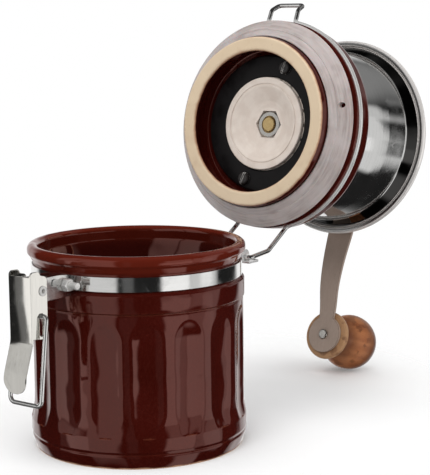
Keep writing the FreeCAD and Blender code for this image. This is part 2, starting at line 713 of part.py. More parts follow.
def upper_bush():
    top = stirrup_top + stirrup_sheet
    body = cylinder(bush_radius, stirrup_sheet + 4.0, Vector(0, 0, stirrup_top - 4.0))
    body = body.fuse(cylinder(bush_flange, 1.6, Vector(0, 0, top)))
    return body.cut(cylinder(shaft_radius + run_gap, 20, Vector(0, 0, stirrup_top - 6))).removeSplitter()


def thrust_washer():
    low = stirrup_top + stirrup_sheet + 1.6
    ring = cylinder(6.6, adjust_low - low, Vector(0, 0, low))
    return ring.cut(cylinder(shaft_radius + hole_gap, 4, Vector(0, 0, low - 1)))


def adjusting_nut():
    body = turned([
        (0, adjust_low), (adjust_radius, adjust_low, 0.8), (adjust_radius, adjust_low + adjust_height, 0.8),
        (0, adjust_low + adjust_height),
    ])
    notch = cylinder(0.9, adjust_height + 2, Vector(adjust_radius + 0.35, 0, adjust_low - 1))
    body = body.cut(around_z(notch, 24))
    return body.cut(cylinder(shaft_radius + run_gap, adjust_height + 2, Vector(0, 0, adjust_low - 1)))


def mill_shaft():
    top = crank_hub_z + crank_sheet
    shoulder = burr_top + shaft_collar_height
    shaft = turned([
        (0, shaft_low), (shaft_end_radius, shaft_low, 0.5), (shaft_end_radius, burr_top, 0),
        (shaft_collar, burr_top, 0.3), (shaft_collar, shoulder, 0.3), (shaft_radius, shoulder, 0),
        (shaft_radius, crank_hub_z, 0), (0, crank_hub_z),
    ])
    half = square_side / 2
    square = box(-half, half, -half, half, crank_hub_z - 0.01, top)
    thread = cylinder(half - 0.2, cap_nut_height - 2.5, Vector(0, 0, top - 0.01))
    return shaft.fuse([turn_z(square, crank_angle), thread]).removeSplitter()


def crank_seat_nut():
    low = crank_hub_z - 5.0
    nut = hexagon(11.0, 5.0, Vector(0, 0, low))
    return nut.cut(cylinder(shaft_radius + run_gap, 8, Vector(0, 0, low - 1)))


def crank_arm():
    """Flat strip, bent in one plane: level at the hub, down past the hopper rim, level again at the eye."""
    tilt = math.radians(crank_eye_tilt)
    hub = crank_hub_radius + 2.0
    eye = Vector(crank_reach, 0, crank_eye_z)
    inner = eye - Vector(10 * math.cos(tilt), 0, -10 * math.sin(tilt))
    outer = eye + Vector(13 * math.cos(tilt), 0, -13 * math.sin(tilt))
    bends = [Vector(crank_reach - back, 0, crank_hub_z - drop) for back, drop in crank_bends]
    curve = Part.BSplineCurve()
    curve.interpolate(
        Points=[Vector(hub, 0, crank_hub_z)] + bends + [inner],
        InitialTangent=Vector(1, 0, 0), FinalTangent=Vector(math.cos(tilt), 0, -math.sin(tilt)))
    path = Part.Wire([Part.makeLine(Vector(-hub, 0, crank_hub_z), Vector(hub, 0, crank_hub_z)),
                      curve.toShape(), Part.makeLine(inner, outer)])
    upper = path.copy()
    upper.translate(Vector(0, 0, crank_sheet))
    joins = [Part.makeLine(Vector(-hub, 0, crank_hub_z), Vector(-hub, 0, crank_hub_z + crank_sheet)),
             Part.makeLine(outer, outer + Vector(0, 0, crank_sheet))]
    face = Part.Face(Part.Wire(Part.__sortEdges__(path.Edges + upper.Edges + joins)))
    strip = face.extrude(Y * 40)
    strip.translate(Y * -20)
    low = crank_eye_z - 20
    height = 60
    plan = cylinder(crank_hub_radius, height, Vector(0, 0, low))
    plan = plan.fuse(cylinder(crank_eye_radius, height, Vector(crank_reach, 0, low)))
    middle = crank_reach / 2
    neck = crank_reach - 11.7
    half = crank_neck_width / 2
    web = plate([
        (0, -9.0, low, 0), (middle, -8.0, low, 60), (neck, -half, low, 8), (neck + 6, -half, low, 0),
        (neck + 6, half, low, 0), (neck, half, low, 8), (middle, 8.0, low, 60), (0, 9.0, low, 0),
    ], Z, height)
    arm = strip.common(plan.fuse(web).removeSplitter())
    half = square_side / 2 + hole_gap
    arm = arm.cut(box(-half, half, -half, half, crank_hub_z - 5, crank_hub_z + 9))
    normal = Vector(math.sin(tilt), 0, math.cos(tilt))
    arm = arm.cut(cylinder(knob_pin_radius + hole_gap, 12, eye - normal * 5, normal))
    return turn_z(arm, crank_angle)


def at_knob(shape):
    """Moves a part drawn on the crank eye (Z square to the strip, zero on its top face) to its place."""
    tilt = math.radians(crank_eye_tilt)
    rise = Vector(math.sin(tilt), 0, math.cos(tilt)) * (crank_sheet * math.cos(tilt))
    copy = shape.copy()
    copy.Placement = Placement(Vector(crank_reach, 0, crank_eye_z) + rise, Rotation(Y, crank_eye_tilt))
    return turn_z(copy, crank_angle)


def cap_nut():
    low = crank_hub_z + crank_sheet
    height = cap_nut_height
    nut = hexagon(cap_nut_width, 4.6, Vector(0, 0, low))
    dome = turned([(0, low + 3), (4.5, low + 3), (4.5, low + height, 4.0), (0, low + height)])
    nut = nut.fuse(dome).removeSplitter()
    return nut.cut(cylinder(square_side / 2 - 0.2 + run_gap, height - 2.0, Vector(0, 0, low - 0.1)))


def knob_top():
    return knob_washer_height + knob_ball_height + knob_ball_radius - 4.6


def knob_pin():
    top = knob_top()
    under = crank_sheet * math.cos(math.radians(crank_eye_tilt))
    shank = cylinder(knob_pin_radius, under + top, Vector(0, 0, -under))
    rivet = turned([(0, -under - 1.5), (2.9, -under - 1.5, 0.9), (2.9, -under), (0, -under)])
    head = turned([(0, top), (4.2, top), (4.2, top + 2.2, 1.4), (0, top + 2.2)])
    return at_knob(shank.fuse([rivet, head]).removeSplitter())


def knob_washer():
    ring = cylinder(knob_washer_radius, knob_washer_height, Vector(0, 0, 0))
    return at_knob(ring.cut(cylinder(knob_pin_radius + hole_gap, 4, Vector(0, 0, -1))))


def knob():
    base = knob_washer_height
    centre = base + knob_ball_height
    ball = knob_ball_radius
    neck = 8.6
    waist = base + 8.8
    touch = math.radians(-48)
    low = (ball * math.cos(touch), centre + ball * math.sin(touch))
    top_angle = math.radians(68)
    high = (ball * math.cos(top_angle), centre + ball * math.sin(top_angle))
    flange = knob_flange_radius
    start = Vector(flange - 1.8, 0, base + 3.9)
    edges = [
        Part.makeLine(Vector(0, 0, base), Vector(flange - 1.0, 0, base)),
        Part.Arc(Vector(flange - 1.0, 0, base), Vector(flange, 0, base + 1.9), start).toShape(),
    ]
    curve = Part.BSplineCurve()
    curve.interpolate(Points=[start, Vector(neck, 0, waist), Vector(low[0], 0, low[1])],
                      InitialTangent=Vector(-1, 0, 0.55), FinalTangent=Vector(-math.sin(touch), 0, math.cos(touch)))
    edges.append(curve.toShape())
    edges.append(Part.Arc(Vector(low[0], 0, low[1]), Vector(ball, 0, centre), Vector(high[0], 0, high[1])).toShape())
    edges.append(Part.makeLine(Vector(high[0], 0, high[1]), Vector(0, 0, high[1])))
    edges.append(Part.makeLine(Vector(0, 0, high[1]), Vector(0, 0, base)))
    body = Part.Face(Part.Wire(edges)).revolve(Vector(0, 0, 0), Z, 360)
    body = body.cut(cylinder(knob_pin_radius + hole_gap, 60, Vector(0, 0, 0)))
    top = knob_top()
    return at_knob(body.cut(cylinder(4.6, 20, Vector(0, 0, top - run_gap))))


fixed_parts = {
    "jar": jar, "neck_band": neck_band, "clamp_bolt": clamp_bolt, "clamp_nut": clamp_nut,
    "latch_bracket": latch_bracket, "lever_pin": lever_pin, "latch_lever": latch_lever,
    "latch_bail": latch_bail, "hinge_bracket": hinge_bracket, "hinge_rivets": hinge_rivets,
}
lid_parts = {
    "lid_body": lid_body, "lid_gasket": lid_gasket, "lid_wire": lid_wire, "mill_housing": mill_housing,
    "lower_bush": lower_bush, "fixed_burr": fixed_burr, "grinding_disc": grinding_disc,
    "burr_washer": burr_washer, "burr_nut": burr_nut, "mill_screws": mill_screws, "screw_nuts": screw_nuts,
    "hopper_bowl": hopper_bowl, "shaft_stirrup": shaft_stirrup, "upper_bush": upper_bush,
    "thrust_washer": thrust_washer, "adjusting_nut": adjusting_nut, "mill_shaft": mill_shaft,
    "crank_seat_nut": crank_seat_nut, "crank_arm": crank_arm, "crank_cap_nut": cap_nut,
    "knob_pin": knob_pin, "knob_washer": knob_washer, "crank_knob": knob,
}

os.makedirs("parts", exist_ok=True)
for name, make in fixed_parts.items():
    shape = make()
    shape.exportStep("parts/" + name + ".step")
    print(name, shape.isValid(), len(shape.Solids), round(shape.Volume, 1))
for name, make in lid_parts.items():
    shape = opened(make())
    shape.exportStep("parts/" + name + ".step")
    print(name, shape.isValid(), len(shape.Solids), round(shape.Volume, 1))
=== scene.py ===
"""Manual coffee grinder: fluted ceramic jar with an open clamp lid that carries a hand mill.

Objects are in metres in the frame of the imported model: origin in the middle of the jar's foot, +Z up,
+X towards the lid hinge. The outlines of turned pieces are in millimetres. What lies on the lid, crank or
knob is described with the lid shut and then turned open, which is the stored pose.
"""

import logging
import math
from dataclasses import dataclass
from enum import Enum
from typing import Callable, Iterable, Optional, Sequence

import bmesh
import bpy
from mathutils import Matrix, Vector


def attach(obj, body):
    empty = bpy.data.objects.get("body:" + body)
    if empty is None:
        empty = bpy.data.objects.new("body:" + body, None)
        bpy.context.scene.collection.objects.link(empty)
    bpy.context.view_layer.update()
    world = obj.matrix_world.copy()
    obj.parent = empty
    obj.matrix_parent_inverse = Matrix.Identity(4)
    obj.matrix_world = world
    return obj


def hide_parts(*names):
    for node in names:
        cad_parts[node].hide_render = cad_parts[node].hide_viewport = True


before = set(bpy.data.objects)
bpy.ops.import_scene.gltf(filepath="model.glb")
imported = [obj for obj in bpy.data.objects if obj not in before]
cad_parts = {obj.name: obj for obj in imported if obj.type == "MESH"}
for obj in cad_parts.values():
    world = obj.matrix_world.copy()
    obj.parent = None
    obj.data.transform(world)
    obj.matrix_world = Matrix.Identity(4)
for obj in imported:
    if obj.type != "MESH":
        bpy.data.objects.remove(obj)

log = logging.getLogger("coffee_grinder")

Socket = bpy.types.NodeSocket

MM = 0.001
HINGE = Vector((74.3, 0.0, 85.8)) * MM
CRANK_EYE = Vector((117.7, 0.0, 181.2)) * MM
CRANK_SHEET = 2.0 * MM
OPEN_ANGLE = math.radians(99.8)
CRANK_ANGLE = math.radians(-3.0)
EYE_TILT = math.radians(10.0)
SHARP_ANGLE = math.radians(40.0)

LID_OPEN = Matrix.Translation(HINGE) @ Matrix.Rotation(OPEN_ANGLE, 4, "Y") @ Matrix.Translation(-HINGE)
CRANK_TURN = LID_OPEN @ Matrix.Rotation(CRANK_ANGLE, 4, "Z")
EYE_RISE = CRANK_SHEET * math.cos(EYE_TILT)
KNOB_SEAT = (
    CRANK_TURN
    @ Matrix.Translation(CRANK_EYE)
    @ Matrix.Rotation(EYE_TILT, 4, "Y")
    @ Matrix.Translation(Vector((0.0, 0.0, EYE_RISE)))
)


class Place(Enum):
    """Which part of the grinder a pattern is laid out on."""

    JAR = "jar"
    LID = "lid"
    CRANK = "crank"
    KNOB = "knob"


PLACE_MATRIX = {
    Place.JAR: Matrix.Identity(4),
    Place.LID: LID_OPEN,
    Place.CRANK: CRANK_TURN,
    Place.KNOB: KNOB_SEAT,
}


# Node tree helpers


class Graph:
    """Short way to add and join nodes of one node tree."""

    def __init__(self, tree: bpy.types.NodeTree) -> None:
        """Keeps the tree and a running column for new nodes.

        Args:
            tree: node tree of a material, world or group.
        """
        self.tree = tree
        self.column = 0

    def node(self, kind: str, inputs: Optional[dict] = None, **settings: object) -> bpy.types.Node:
        """Adds a node.

        Args:
            kind: node type name.
            inputs: input name or index to a value or to an output socket to join.
            settings: properties of the node.

        Returns:
            The new node.
        """
        made = self.tree.nodes.new(kind)
        made.location = (self.column * 60, (self.column % 5) * -160)
        self.column += 1
        for key, value in settings.items():
            setattr(made, key, value)
        for key, value in (inputs or {}).items():
            self.feed(made.inputs[key], value)
        return made

    def feed(self, socket: Socket, value: object) -> None:
        """Sets a socket to a value, or joins it to an output.

        Args:
            socket: input to fill.
            value: plain value, or the output to join it to.
        """
        if isinstance(value, Socket):
            self.tree.links.new(value, socket)
        else:
            socket.default_value = value

    def math(self, operation: str, a: object, b: object = 0.0, clamp: bool = False) -> Socket:
        """Adds a math node and returns its result."""
        return self.node("ShaderNodeMath", {0: a, 1: b}, operation=operation, use_clamp=clamp).outputs[0]

    def times(self, a: object, b: object) -> Socket:
        """Product of two values."""
        return self.math("MULTIPLY", a, b)

    def plus(self, a: object, b: object) -> Socket:
        """Sum of two values."""
        return self.math("ADD", a, b)

    def rest_of(self, share: object) -> Socket:
        """What a share between 0 and 1 leaves over."""
        return self.math("SUBTRACT", 1.0, share)

    def vector(self, operation: str, a: object, b: object = (0.0, 0.0, 0.0)) -> Socket:
        """Adds a vector math node and returns its vector."""
        return self.node("ShaderNodeVectorMath", {0: a, 1: b}, operation=operation).outputs["Vector"]

    def measure(self, operation: str, a: object, b: object = (0.0, 0.0, 0.0)) -> Socket:
        """Adds a vector math node and returns its number."""
        return self.node("ShaderNodeVectorMath", {0: a, 1: b}, operation=operation).outputs["Value"]

    def split(self, where: object) -> Sequence[Socket]:
        """The three coordinates of a vector."""
        return self.node("ShaderNodeSeparateXYZ", {0: where}).outputs

    def radius(self, where: object) -> Socket:
        """Distance of a vector from the upright axis."""
        return self.measure("LENGTH", self.vector("MULTIPLY", where, (1.0, 1.0, 0.0)))

    def remap(self, value: object, low: object, high: object, to_low: float = 0.0, to_high: float = 1.0,
              smooth: bool = False) -> Socket:
        """Maps a value from one range to another, clamped.

        Args:
            value: value or output to map.
            low: value that gives to_low.
            high: value that gives to_high.
            to_low: result at low.
            to_high: result at high.
            smooth: whether the change starts and ends gently.

        Returns:
            The mapped value.
        """
        made = self.node("ShaderNodeMapRange", {0: value, 1: low, 2: high, 3: to_low, 4: to_high},
                         interpolation_type="SMOOTHSTEP" if smooth else "LINEAR")
        return made.outputs[0]

    def mix(self, colour: object, over: object, mask: object, share: float = 1.0) -> Socket:
        """Lays one colour over another.

        Args:
            colour: colour below.
            over: colour on top.
            mask: where the top colour lies, between 0 and 1.
            share: how strongly it covers where the mask is 1.

        Returns:
            The mixed colour.
        """
        factor = mask if share == 1.0 else self.times(mask, share)
        return self.node("ShaderNodeMix", {0: factor, 6: colour, 7: over}, data_type="RGBA").outputs[2]

    def noise(self, where: object, size: object, detail: object, roughness: float = 0.5) -> Socket:
        """Noise between 0 and 1.

        Args:
            where: coordinates.
            size: how many lumps lie in one unit.
            detail: number of finer layers.
            roughness: strength of the finer layers.

        Returns:
            The noise value.
        """
        made = self.node("ShaderNodeTexNoise", {"Vector": where, "Scale": size, "Detail": detail,
                                                "Roughness": roughness})
        return made.outputs[0]

    def warped(self, where: object, size: float, detail: float, reach: float) -> Socket:
        """Coordinates pushed about by noise.

        Args:
            where: coordinates.
            size: how many lumps of the noise lie in one unit.
            detail: number of finer layers.
            reach: longest push along each axis.

        Returns:
            The warped coordinates.
        """
        push = self.node("ShaderNodeTexNoise", {"Vector": where, "Scale": size, "Detail": detail}).outputs[1]
        return self.vector("ADD", where, self.vector("MULTIPLY", push, (reach, reach, reach)))


def new_group(name: str, takes: dict, gives: dict) -> tuple:
    """Makes an empty shader node group.

    Args:
        name: name of the group.
        takes: input name to (socket type, default value).
        gives: output name to socket type.

    Returns:
        The group, its graph, its input node's outputs and its output node's inputs.
    """
    group = bpy.data.node_groups.new(name, "ShaderNodeTree")
    for key, (kind, default) in takes.items():
        socket = group.interface.new_socket(name=key, in_out="INPUT", socket_type=kind)
        if default is not None:
            socket.default_value = default
    for key, kind in gives.items():
        group.interface.new_socket(name=key, in_out="OUTPUT", socket_type=kind)
    graph = Graph(group)
    start = graph.node("NodeGroupInput")
    end = graph.node("NodeGroupOutput")
    return group, graph, start.outputs, end.inputs


FLOAT = "NodeSocketFloat"
VECTOR = "NodeSocketVector"


class Effects:
    """The shared surface effects, each a node group built once."""

    def __init__(self) -> None:
        """Builds every group."""
        self.mottle = self.build_mottle()
        self.brush = self.build_brush()
        self.spun = self.build_spun()
        self.edge = self.build_edge()
        self.scratches = self.build_scratches()
        self.specks = self.build_specks()

    @staticmethod
    def build_mottle() -> bpy.types.NodeTree:
        """Soft cloudy variation, such as smudges or uneven glaze.

        Returns:
            The node group.
        """
        group, g, take, give = new_group(
            "soft_mottle",
            {"Vector": (VECTOR, None), "Size": (FLOAT, 60.0), "Detail": (FLOAT, 3.0), "Low": (FLOAT, 0.35),
             "High": (FLOAT, 0.65)},
            {"Value": FLOAT})
        cloud = g.noise(take["Vector"], take["Size"], take["Detail"], 0.55)
        g.feed(give["Value"], g.remap(cloud, take["Low"], take["High"], smooth=True))
        return group

    @staticmethod
    def build_brush() -> bpy.types.NodeTree:
        """Fine straight brush lines; Stretch squeezes the pattern along each axis.

        Returns:
            The node group.
        """
        group, g, take, give = new_group(
            "brush_lines", {"Vector": (VECTOR, None), "Stretch": (VECTOR, (20.0, 1500.0, 1500.0))},
            {"Height": FLOAT, "Mask": FLOAT})
        laid = g.vector("MULTIPLY", take["Vector"], take["Stretch"])
        lines = g.plus(g.times(g.noise(laid, 1.0, 4.0, 0.7), 0.7), g.times(g.noise(laid, 0.16, 2.0), 0.3))
        g.feed(give["Height"], lines)
        g.feed(give["Mask"], g.remap(lines, 0.38, 0.62))
        return group

    @staticmethod
    def build_spun() -> bpy.types.NodeTree:
        """Turning marks round the upright axis of the coordinates.

        Returns:
            The node group.
        """
        group, g, take, give = new_group(
            "spun_rings", {"Vector": (VECTOR, None), "Rings": (FLOAT, 1800.0), "Drift": (FLOAT, 0.6)},
            {"Height": FLOAT, "Mask": FLOAT})
        x, y, z = g.split(take["Vector"])
        laid = g.node("ShaderNodeCombineXYZ", {0: g.times(g.radius(take["Vector"]), take["Rings"]),
                                               1: g.times(g.math("ARCTAN2", y, x), take["Drift"]),
                                               2: g.times(z, take["Rings"])}).outputs[0]
        rings = g.noise(laid, 1.0, 3.0, 0.65)
        g.feed(give["Height"], rings)
        g.feed(give["Mask"], g.remap(rings, 0.35, 0.65))
        return group

    @staticmethod
    def build_edge() -> bpy.types.NodeTree:
        """Mask and rounded normal along outer edges within a radius.

        Returns:
            The node group.
        """
        group, g, take, give = new_group(
            "soft_edges",
            {"Radius": (FLOAT, 0.6 * MM), "Low": (FLOAT, 0.01), "High": (FLOAT, 0.12), "Break": (FLOAT, 0.0),
             "Vector": (VECTOR, None)},
            {"Mask": FLOAT, "Normal": VECTOR})
        rounded = g.node("ShaderNodeBevel", {"Radius": take["Radius"]}, samples=6).outputs[0]
        turn = g.measure("DOT_PRODUCT", rounded, g.node("ShaderNodeNewGeometry").outputs["Normal"])
        uneven = g.times(g.math("SUBTRACT", g.noise(take["Vector"], 380.0, 4.0), 0.5), take["Break"])
        mask = g.remap(g.plus(g.rest_of(turn), uneven), take["Low"], take["High"], smooth=True)
        g.feed(give["Mask"], mask)
        g.feed(give["Normal"], rounded)
        return group

    @staticmethod
    def build_scratches() -> bpy.types.NodeTree:
        """Sparse fine scratches in every direction.

        Returns:
            The node group.
        """
        group, g, take, give = new_group(
            "fine_scratches", {"Vector": (VECTOR, None), "Size": (FLOAT, 90.0), "Width": (FLOAT, 0.03)},
            {"Mask": FLOAT})
        bent = g.warped(take["Vector"], 30.0, 2.0, 0.02)
        cells = g.node("ShaderNodeTexVoronoi", {"Vector": bent, "Scale": take["Size"]},
                       feature="DISTANCE_TO_EDGE")
        line = g.math("LESS_THAN", cells.outputs["Distance"], take["Width"])
        g.feed(give["Mask"], g.times(line, g.remap(g.noise(take["Vector"], 140.0, 3.0), 0.55, 0.7)))
        return group

    @staticmethod
    def build_specks() -> bpy.types.NodeTree:
        """Small round specks scattered over a surface.

        Returns:
            The node group.
        """
        group, g, take, give = new_group(
            "small_specks",
            {"Vector": (VECTOR, None), "Size": (FLOAT, 400.0), "Radius": (FLOAT, 0.16),
             "Share": (FLOAT, 0.3)},
            {"Mask": FLOAT})
        cells = g.node("ShaderNodeTexVoronoi", {"Vector": take["Vector"], "Scale": take["Size"]}).outputs
        picked = g.node("ShaderNodeSeparateColor", {0: cells["Color"]}).outputs[0]
        inside = g.remap(cells["Distance"], take["Radius"], 0.0)
        g.feed(give["Mask"], g.times(inside, g.math("LESS_THAN", picked, take["Share"])))
        return group


effects = Effects()


class Surface(Graph):
    """Node tree of one material, with its shader's inputs and the coordinates of its pattern."""

    def __init__(self, material: bpy.types.Material, place: Place) -> None:
        """Gives the material an empty shader.

        Args:
            material: the new material.
            place: part that the pattern is laid out on.
        """
        material.use_nodes = True
        super().__init__(material.node_tree)
        self.tree.nodes.clear()
        shader = self.node("ShaderNodeBsdfPrincipled")
        self.feed(self.node("ShaderNodeOutputMaterial").inputs[0], shader.outputs[0])
        self.shader = shader.inputs
        self.where = self.coordinates(place)

    def coordinates(self, place: Place) -> Socket:
        """Coordinates laid out on a part of the grinder.

        Args:
            place: the part.

        Returns:
            Vector output in metres.
        """
        source = self.node("ShaderNodeTexCoord").outputs["Object"]
        if place is Place.JAR:
            return source
        back = PLACE_MATRIX[place].inverted()
        return self.node("ShaderNodeMapping", {"Vector": source, "Location": back.to_translation(),
                                               "Rotation": back.to_euler()}).outputs[0]

    def effect(self, tree: bpy.types.NodeTree, **values: object) -> Sequence[Socket]:
        """Places a shared effect on the pattern's coordinates.

        Args:
            tree: the effect's node group.
            values: its inputs by their names in lower case.

        Returns:
            The outputs of the effect.
        """
        made = self.node("ShaderNodeGroup", {"Vector": self.where}, node_tree=tree)
        for key, value in values.items():
            self.feed(made.inputs[key.title()], value)
        return made.outputs

    def put(self, inputs: dict) -> None:
        """Fills inputs of the shader by their names."""
        for key, value in inputs.items():
            self.feed(self.shader[key], value)

    def fed(self, key: str) -> Socket:
        """The output that already feeds an input of the shader."""
        return self.shader[key].links[0].from_socket

    def relief(self, height: object, distance: float, normal: Optional[Socket] = None) -> None:
        """Feeds a bump to the shader's Normal.

        Args:
            height: relief between 0 and 1.
            distance: real height of a relief of 1, in metres.
            normal: normal that the relief stands on, if not the plain one.
        """
        bump = self.node("ShaderNodeBump", {"Height": height, "Distance": distance})
        if normal is not None:
            self.feed(bump.inputs["Normal"], normal)
        self.put({"Normal": bump.outputs[0]})


# Finishes


@dataclass(frozen=True)
class Finish:
    """Base of every finish: a name, the place its pattern lies on, and the shader that it fills."""

    name: str
    place: Place = Place.JAR

    def build(self) -> bpy.types.Material:
        """Makes the material once and returns it.

        Returns:
            The material with its shader and pattern.
        """
        material = bpy.data.materials.get(self.name)
        if material is None:
            material = bpy.data.materials.new(self.name)
            self.pattern(Surface(material, self.place))
        return material

    def pattern(self, s: Surface) -> None:
        """Fills the shader; each finish has its own."""
        raise NotImplementedError


@dataclass(frozen=True)
class Glaze(Finish):
    """Deep burgundy gloss glaze that thins to brown on edges, over pale stoneware."""

    deep: tuple = (0.034, 0.0027, 0.0015, 1.0)
    warm: tuple = (0.046, 0.0042, 0.0026, 1.0)
    freckle: tuple = (0.10, 0.02, 0.013, 1.0)
    thin: tuple = (0.15, 0.040, 0.020, 1.0)
    rim: tuple = (0.105, 0.0125, 0.0058, 1.0)
    rim_from: float = 1.0
    rim_reach: float = 3.0 * MM
    # Painted shade inside the jar: the glaze is darker within this radius.
    inside_shade_radius: float = 0.0
    inside_shade: tuple = (0.018, 0.0016, 0.0009, 1.0)
    inside_shade_edge: float = 1.5 * MM
    clay: tuple = (0.66, 0.535, 0.375, 1.0)
    clay_pale: tuple = (0.74, 0.62, 0.46, 1.0)
    grog: tuple = (0.32, 0.24, 0.16, 1.0)
    burnt: tuple = (0.30, 0.115, 0.05, 1.0)
    burnt_reach: float = 1.1 * MM
    bare_below: float = 0.6 * MM
    bare_band: float = 0.5 * MM
    bare_wobble: float = 1.2 * MM
    edge_radius: float = 1.6 * MM
    gloss: tuple = (0.045, 0.085)
    clay_rough: float = 0.8
    index: float = 1.8
    gloss_tint: tuple = (1.0, 0.52, 0.45, 1.0)
    sag: float = 0.882 * MM
    sag_size: float = 62.0
    ripple: float = 0.0315 * MM
    ripple_size: float = 130.0
    grit: float = 0.09 * MM
    grit_size: float = 2600.0

    def glazed_colour(self, s: Surface, line: Socket, cloud: Socket) -> Socket:
        """Colour where the glaze lies.

        Args:
            s: surface of the material.
            line: uneven height in metres.
            cloud: soft mottle between 0 and 1.

        Returns:
            The colour output.
        """
        fine = s.effect(effects.mottle, size=900.0, low=0.4, high=0.75)[0]
        edge = s.effect(effects.edge, radius=self.edge_radius, low=0.015, high=0.16, **{"break": 0.03})[0]
        colour = s.mix(self.deep, self.warm, cloud)
        colour = s.mix(colour, self.freckle, fine, 0.15)
        colour = s.mix(colour, self.thin, edge, 0.75)
        worn_rim = s.remap(line, self.rim_from, self.rim_from + self.rim_reach, 0.0, 0.8)
        colour = s.mix(colour, self.rim, worn_rim)
        # Painted shade: the glaze turns darker inside the jar.
        if self.inside_shade_radius > 0.0:
            inside = s.remap(s.radius(s.where), self.inside_shade_radius - self.inside_shade_edge, self.inside_shade_radius,
                             0.85, 0.0, smooth=True)
            colour = s.mix(colour, self.inside_shade, inside)
        return colour

    def clay_colour(self, s: Surface, line: Socket, cloud: Socket) -> Socket:
        """Colour where the clay is bare, scorched next to the glaze.

        Args:
            s: surface of the material.
            line: uneven height in metres.
            cloud: soft mottle between 0 and 1.

        Returns:
            The colour output.
        """
        specks = s.effect(effects.specks, size=520.0, radius=0.2, share=0.25)[0]
        colour = s.mix(s.mix(self.clay, self.grog, specks, 0.6), self.clay_pale, cloud, 0.3)
        scorch = s.remap(line, self.bare_below - self.burnt_reach, self.bare_below, 0.0, 0.75, smooth=True)
        return s.mix(colour, self.burnt, scorch)

    def pattern(self, s: Surface) -> None:
        """Glaze over clay, bare below a height of the place's own coordinates.

        Args:
            s: surface of the material.
        """
        cloud = s.effect(effects.mottle, size=26.0, low=0.3, high=0.7)[0]
        wobble = s.math("SUBTRACT", s.noise(s.where, 160.0, 2.0), 0.5)
        line = s.plus(s.split(s.where)[2], s.times(wobble, self.bare_wobble))
        glazed = s.remap(line, self.bare_below, self.bare_below + self.bare_band)
        bare = s.rest_of(glazed)
        gloss = s.remap(cloud, 0.0, 1.0, *self.gloss)
        clay = self.clay_colour(s, line, cloud)
        s.put({"Base Color": s.mix(clay, self.glazed_colour(s, line, cloud), glazed),
               "Roughness": s.plus(s.times(glazed, gloss), s.times(bare, self.clay_rough)),
               "IOR": self.index, "Specular Tint": self.gloss_tint})
        waves = s.plus(s.times(s.noise(s.where, self.sag_size, 1.0), self.sag / self.grit),
                       s.times(s.noise(s.where, self.ripple_size, 1.5), self.ripple / self.grit))
        s.relief(s.plus(waves, s.times(s.noise(s.where, self.grit_size, 3.0), bare)), self.grit)


@dataclass(frozen=True)
class Steel(Finish):
    """Metal from a mirror to a brushed sheet."""

    tint: tuple = (0.86, 0.855, 0.84, 1.0)
    shade: tuple = (0.74, 0.735, 0.72, 1.0)
    rough: tuple = (0.07, 0.2)
    stretch: tuple = (60.0, 60.0, 2600.0)
    rings: float = 0.0
    depth: float = 0.004 * MM
    edge_radius: float = 0.25 * MM
    metal: float = 1.0
    # Edge colour and its share: edge wear, and painted light on the finishes that set it.
    edge_wear_and_light: tuple = (0.9, 0.9, 0.89, 1.0)
    edge_wear_and_light_share: float = 0.3

    def pattern(self, s: Surface) -> None:
        """Metal with brush or spinning lines, smudges and soft edges of another tone: edge wear, which some
        finishes set to painted glints and painted shade.

        Args:
            s: surface of the material.
        """
        smudge = s.effect(effects.mottle, size=110.0, low=0.42, high=0.72)[0]
        if self.rings > 0:
            lines = s.effect(effects.spun, rings=self.rings)
        else:
            lines = s.effect(effects.brush, stretch=self.stretch)
        edge = s.effect(effects.edge, radius=self.edge_radius)
        colour = s.mix(self.tint, self.shade, lines["Mask"], 0.45)
        rough = s.plus(s.remap(smudge, 0.0, 1.0, *self.rough), s.times(lines["Mask"], 0.03))
        scratched = s.times(s.effect(effects.scratches)[0], 0.12)
        # Soft edges take the edge colour: wear on most finishes, painted glints on the screws, painted shade
        # on the crank.
        s.put({"Base Color": s.mix(colour, self.edge_wear_and_light, edge["Mask"], self.edge_wear_and_light_share), "Metallic": self.metal,
               "Roughness": s.math("ADD", rough, scratched, clamp=True)})
        s.relief(lines["Height"], self.depth, self.facing(s, edge["Normal"]))

    def facing(self, s: Surface, normal: Socket) -> Socket:
        """Normal that the metal is lit by; plain steel keeps the one of its soft edges."""
        return normal


@dataclass(frozen=True)
class PressedSteel(Steel):
    """Bright sheet whose normal is bent as if its press had left it slightly bowed across and turned at the
    sides.
    """

    bow: float = 26.0
    lean: float = 0.19
    fold: tuple = (64.0 * MM, 67.0 * MM)
    twist_over: tuple = (66.0 * MM, 86.0 * MM)
    twist: float = 3.6 * MM
    tongue_lift: float = 0.22
    tip: tuple = (48.0 * MM, 52.0 * MM)
    tip_lift: float = 0.24

    def facing(self, s: Surface, normal: Socket) -> Socket:
        """Bends the normal as if the web were bowed across, more on one side lower down, with the sides
        leaning towards it and the tongue lifted.

        Args:
            s: surface of the material.
            normal: normal with its soft edges.

        Returns:
            The bent normal.
        """
        y, z = s.split(s.where)[1:]
        across = s.times(s.plus(y, s.remap(z, *self.twist_over, self.twist, 0.0)),
                         s.remap(z, *self.fold, 0.0, self.bow))
        lift = s.plus(s.remap(z, *self.fold, self.tongue_lift, 0.0),
                      s.remap(z, *self.tip, self.tip_lift, 0.0))
        bend = s.node("ShaderNodeCombineXYZ", {0: -self.lean, 1: across, 2: lift}).outputs[0]
        turned = s.node("ShaderNodeVectorTransform", {0: bend}, vector_type="VECTOR", convert_from="OBJECT",
                        convert_to="WORLD").outputs[0]
        return s.vector("NORMALIZE", s.vector("ADD", normal, turned))


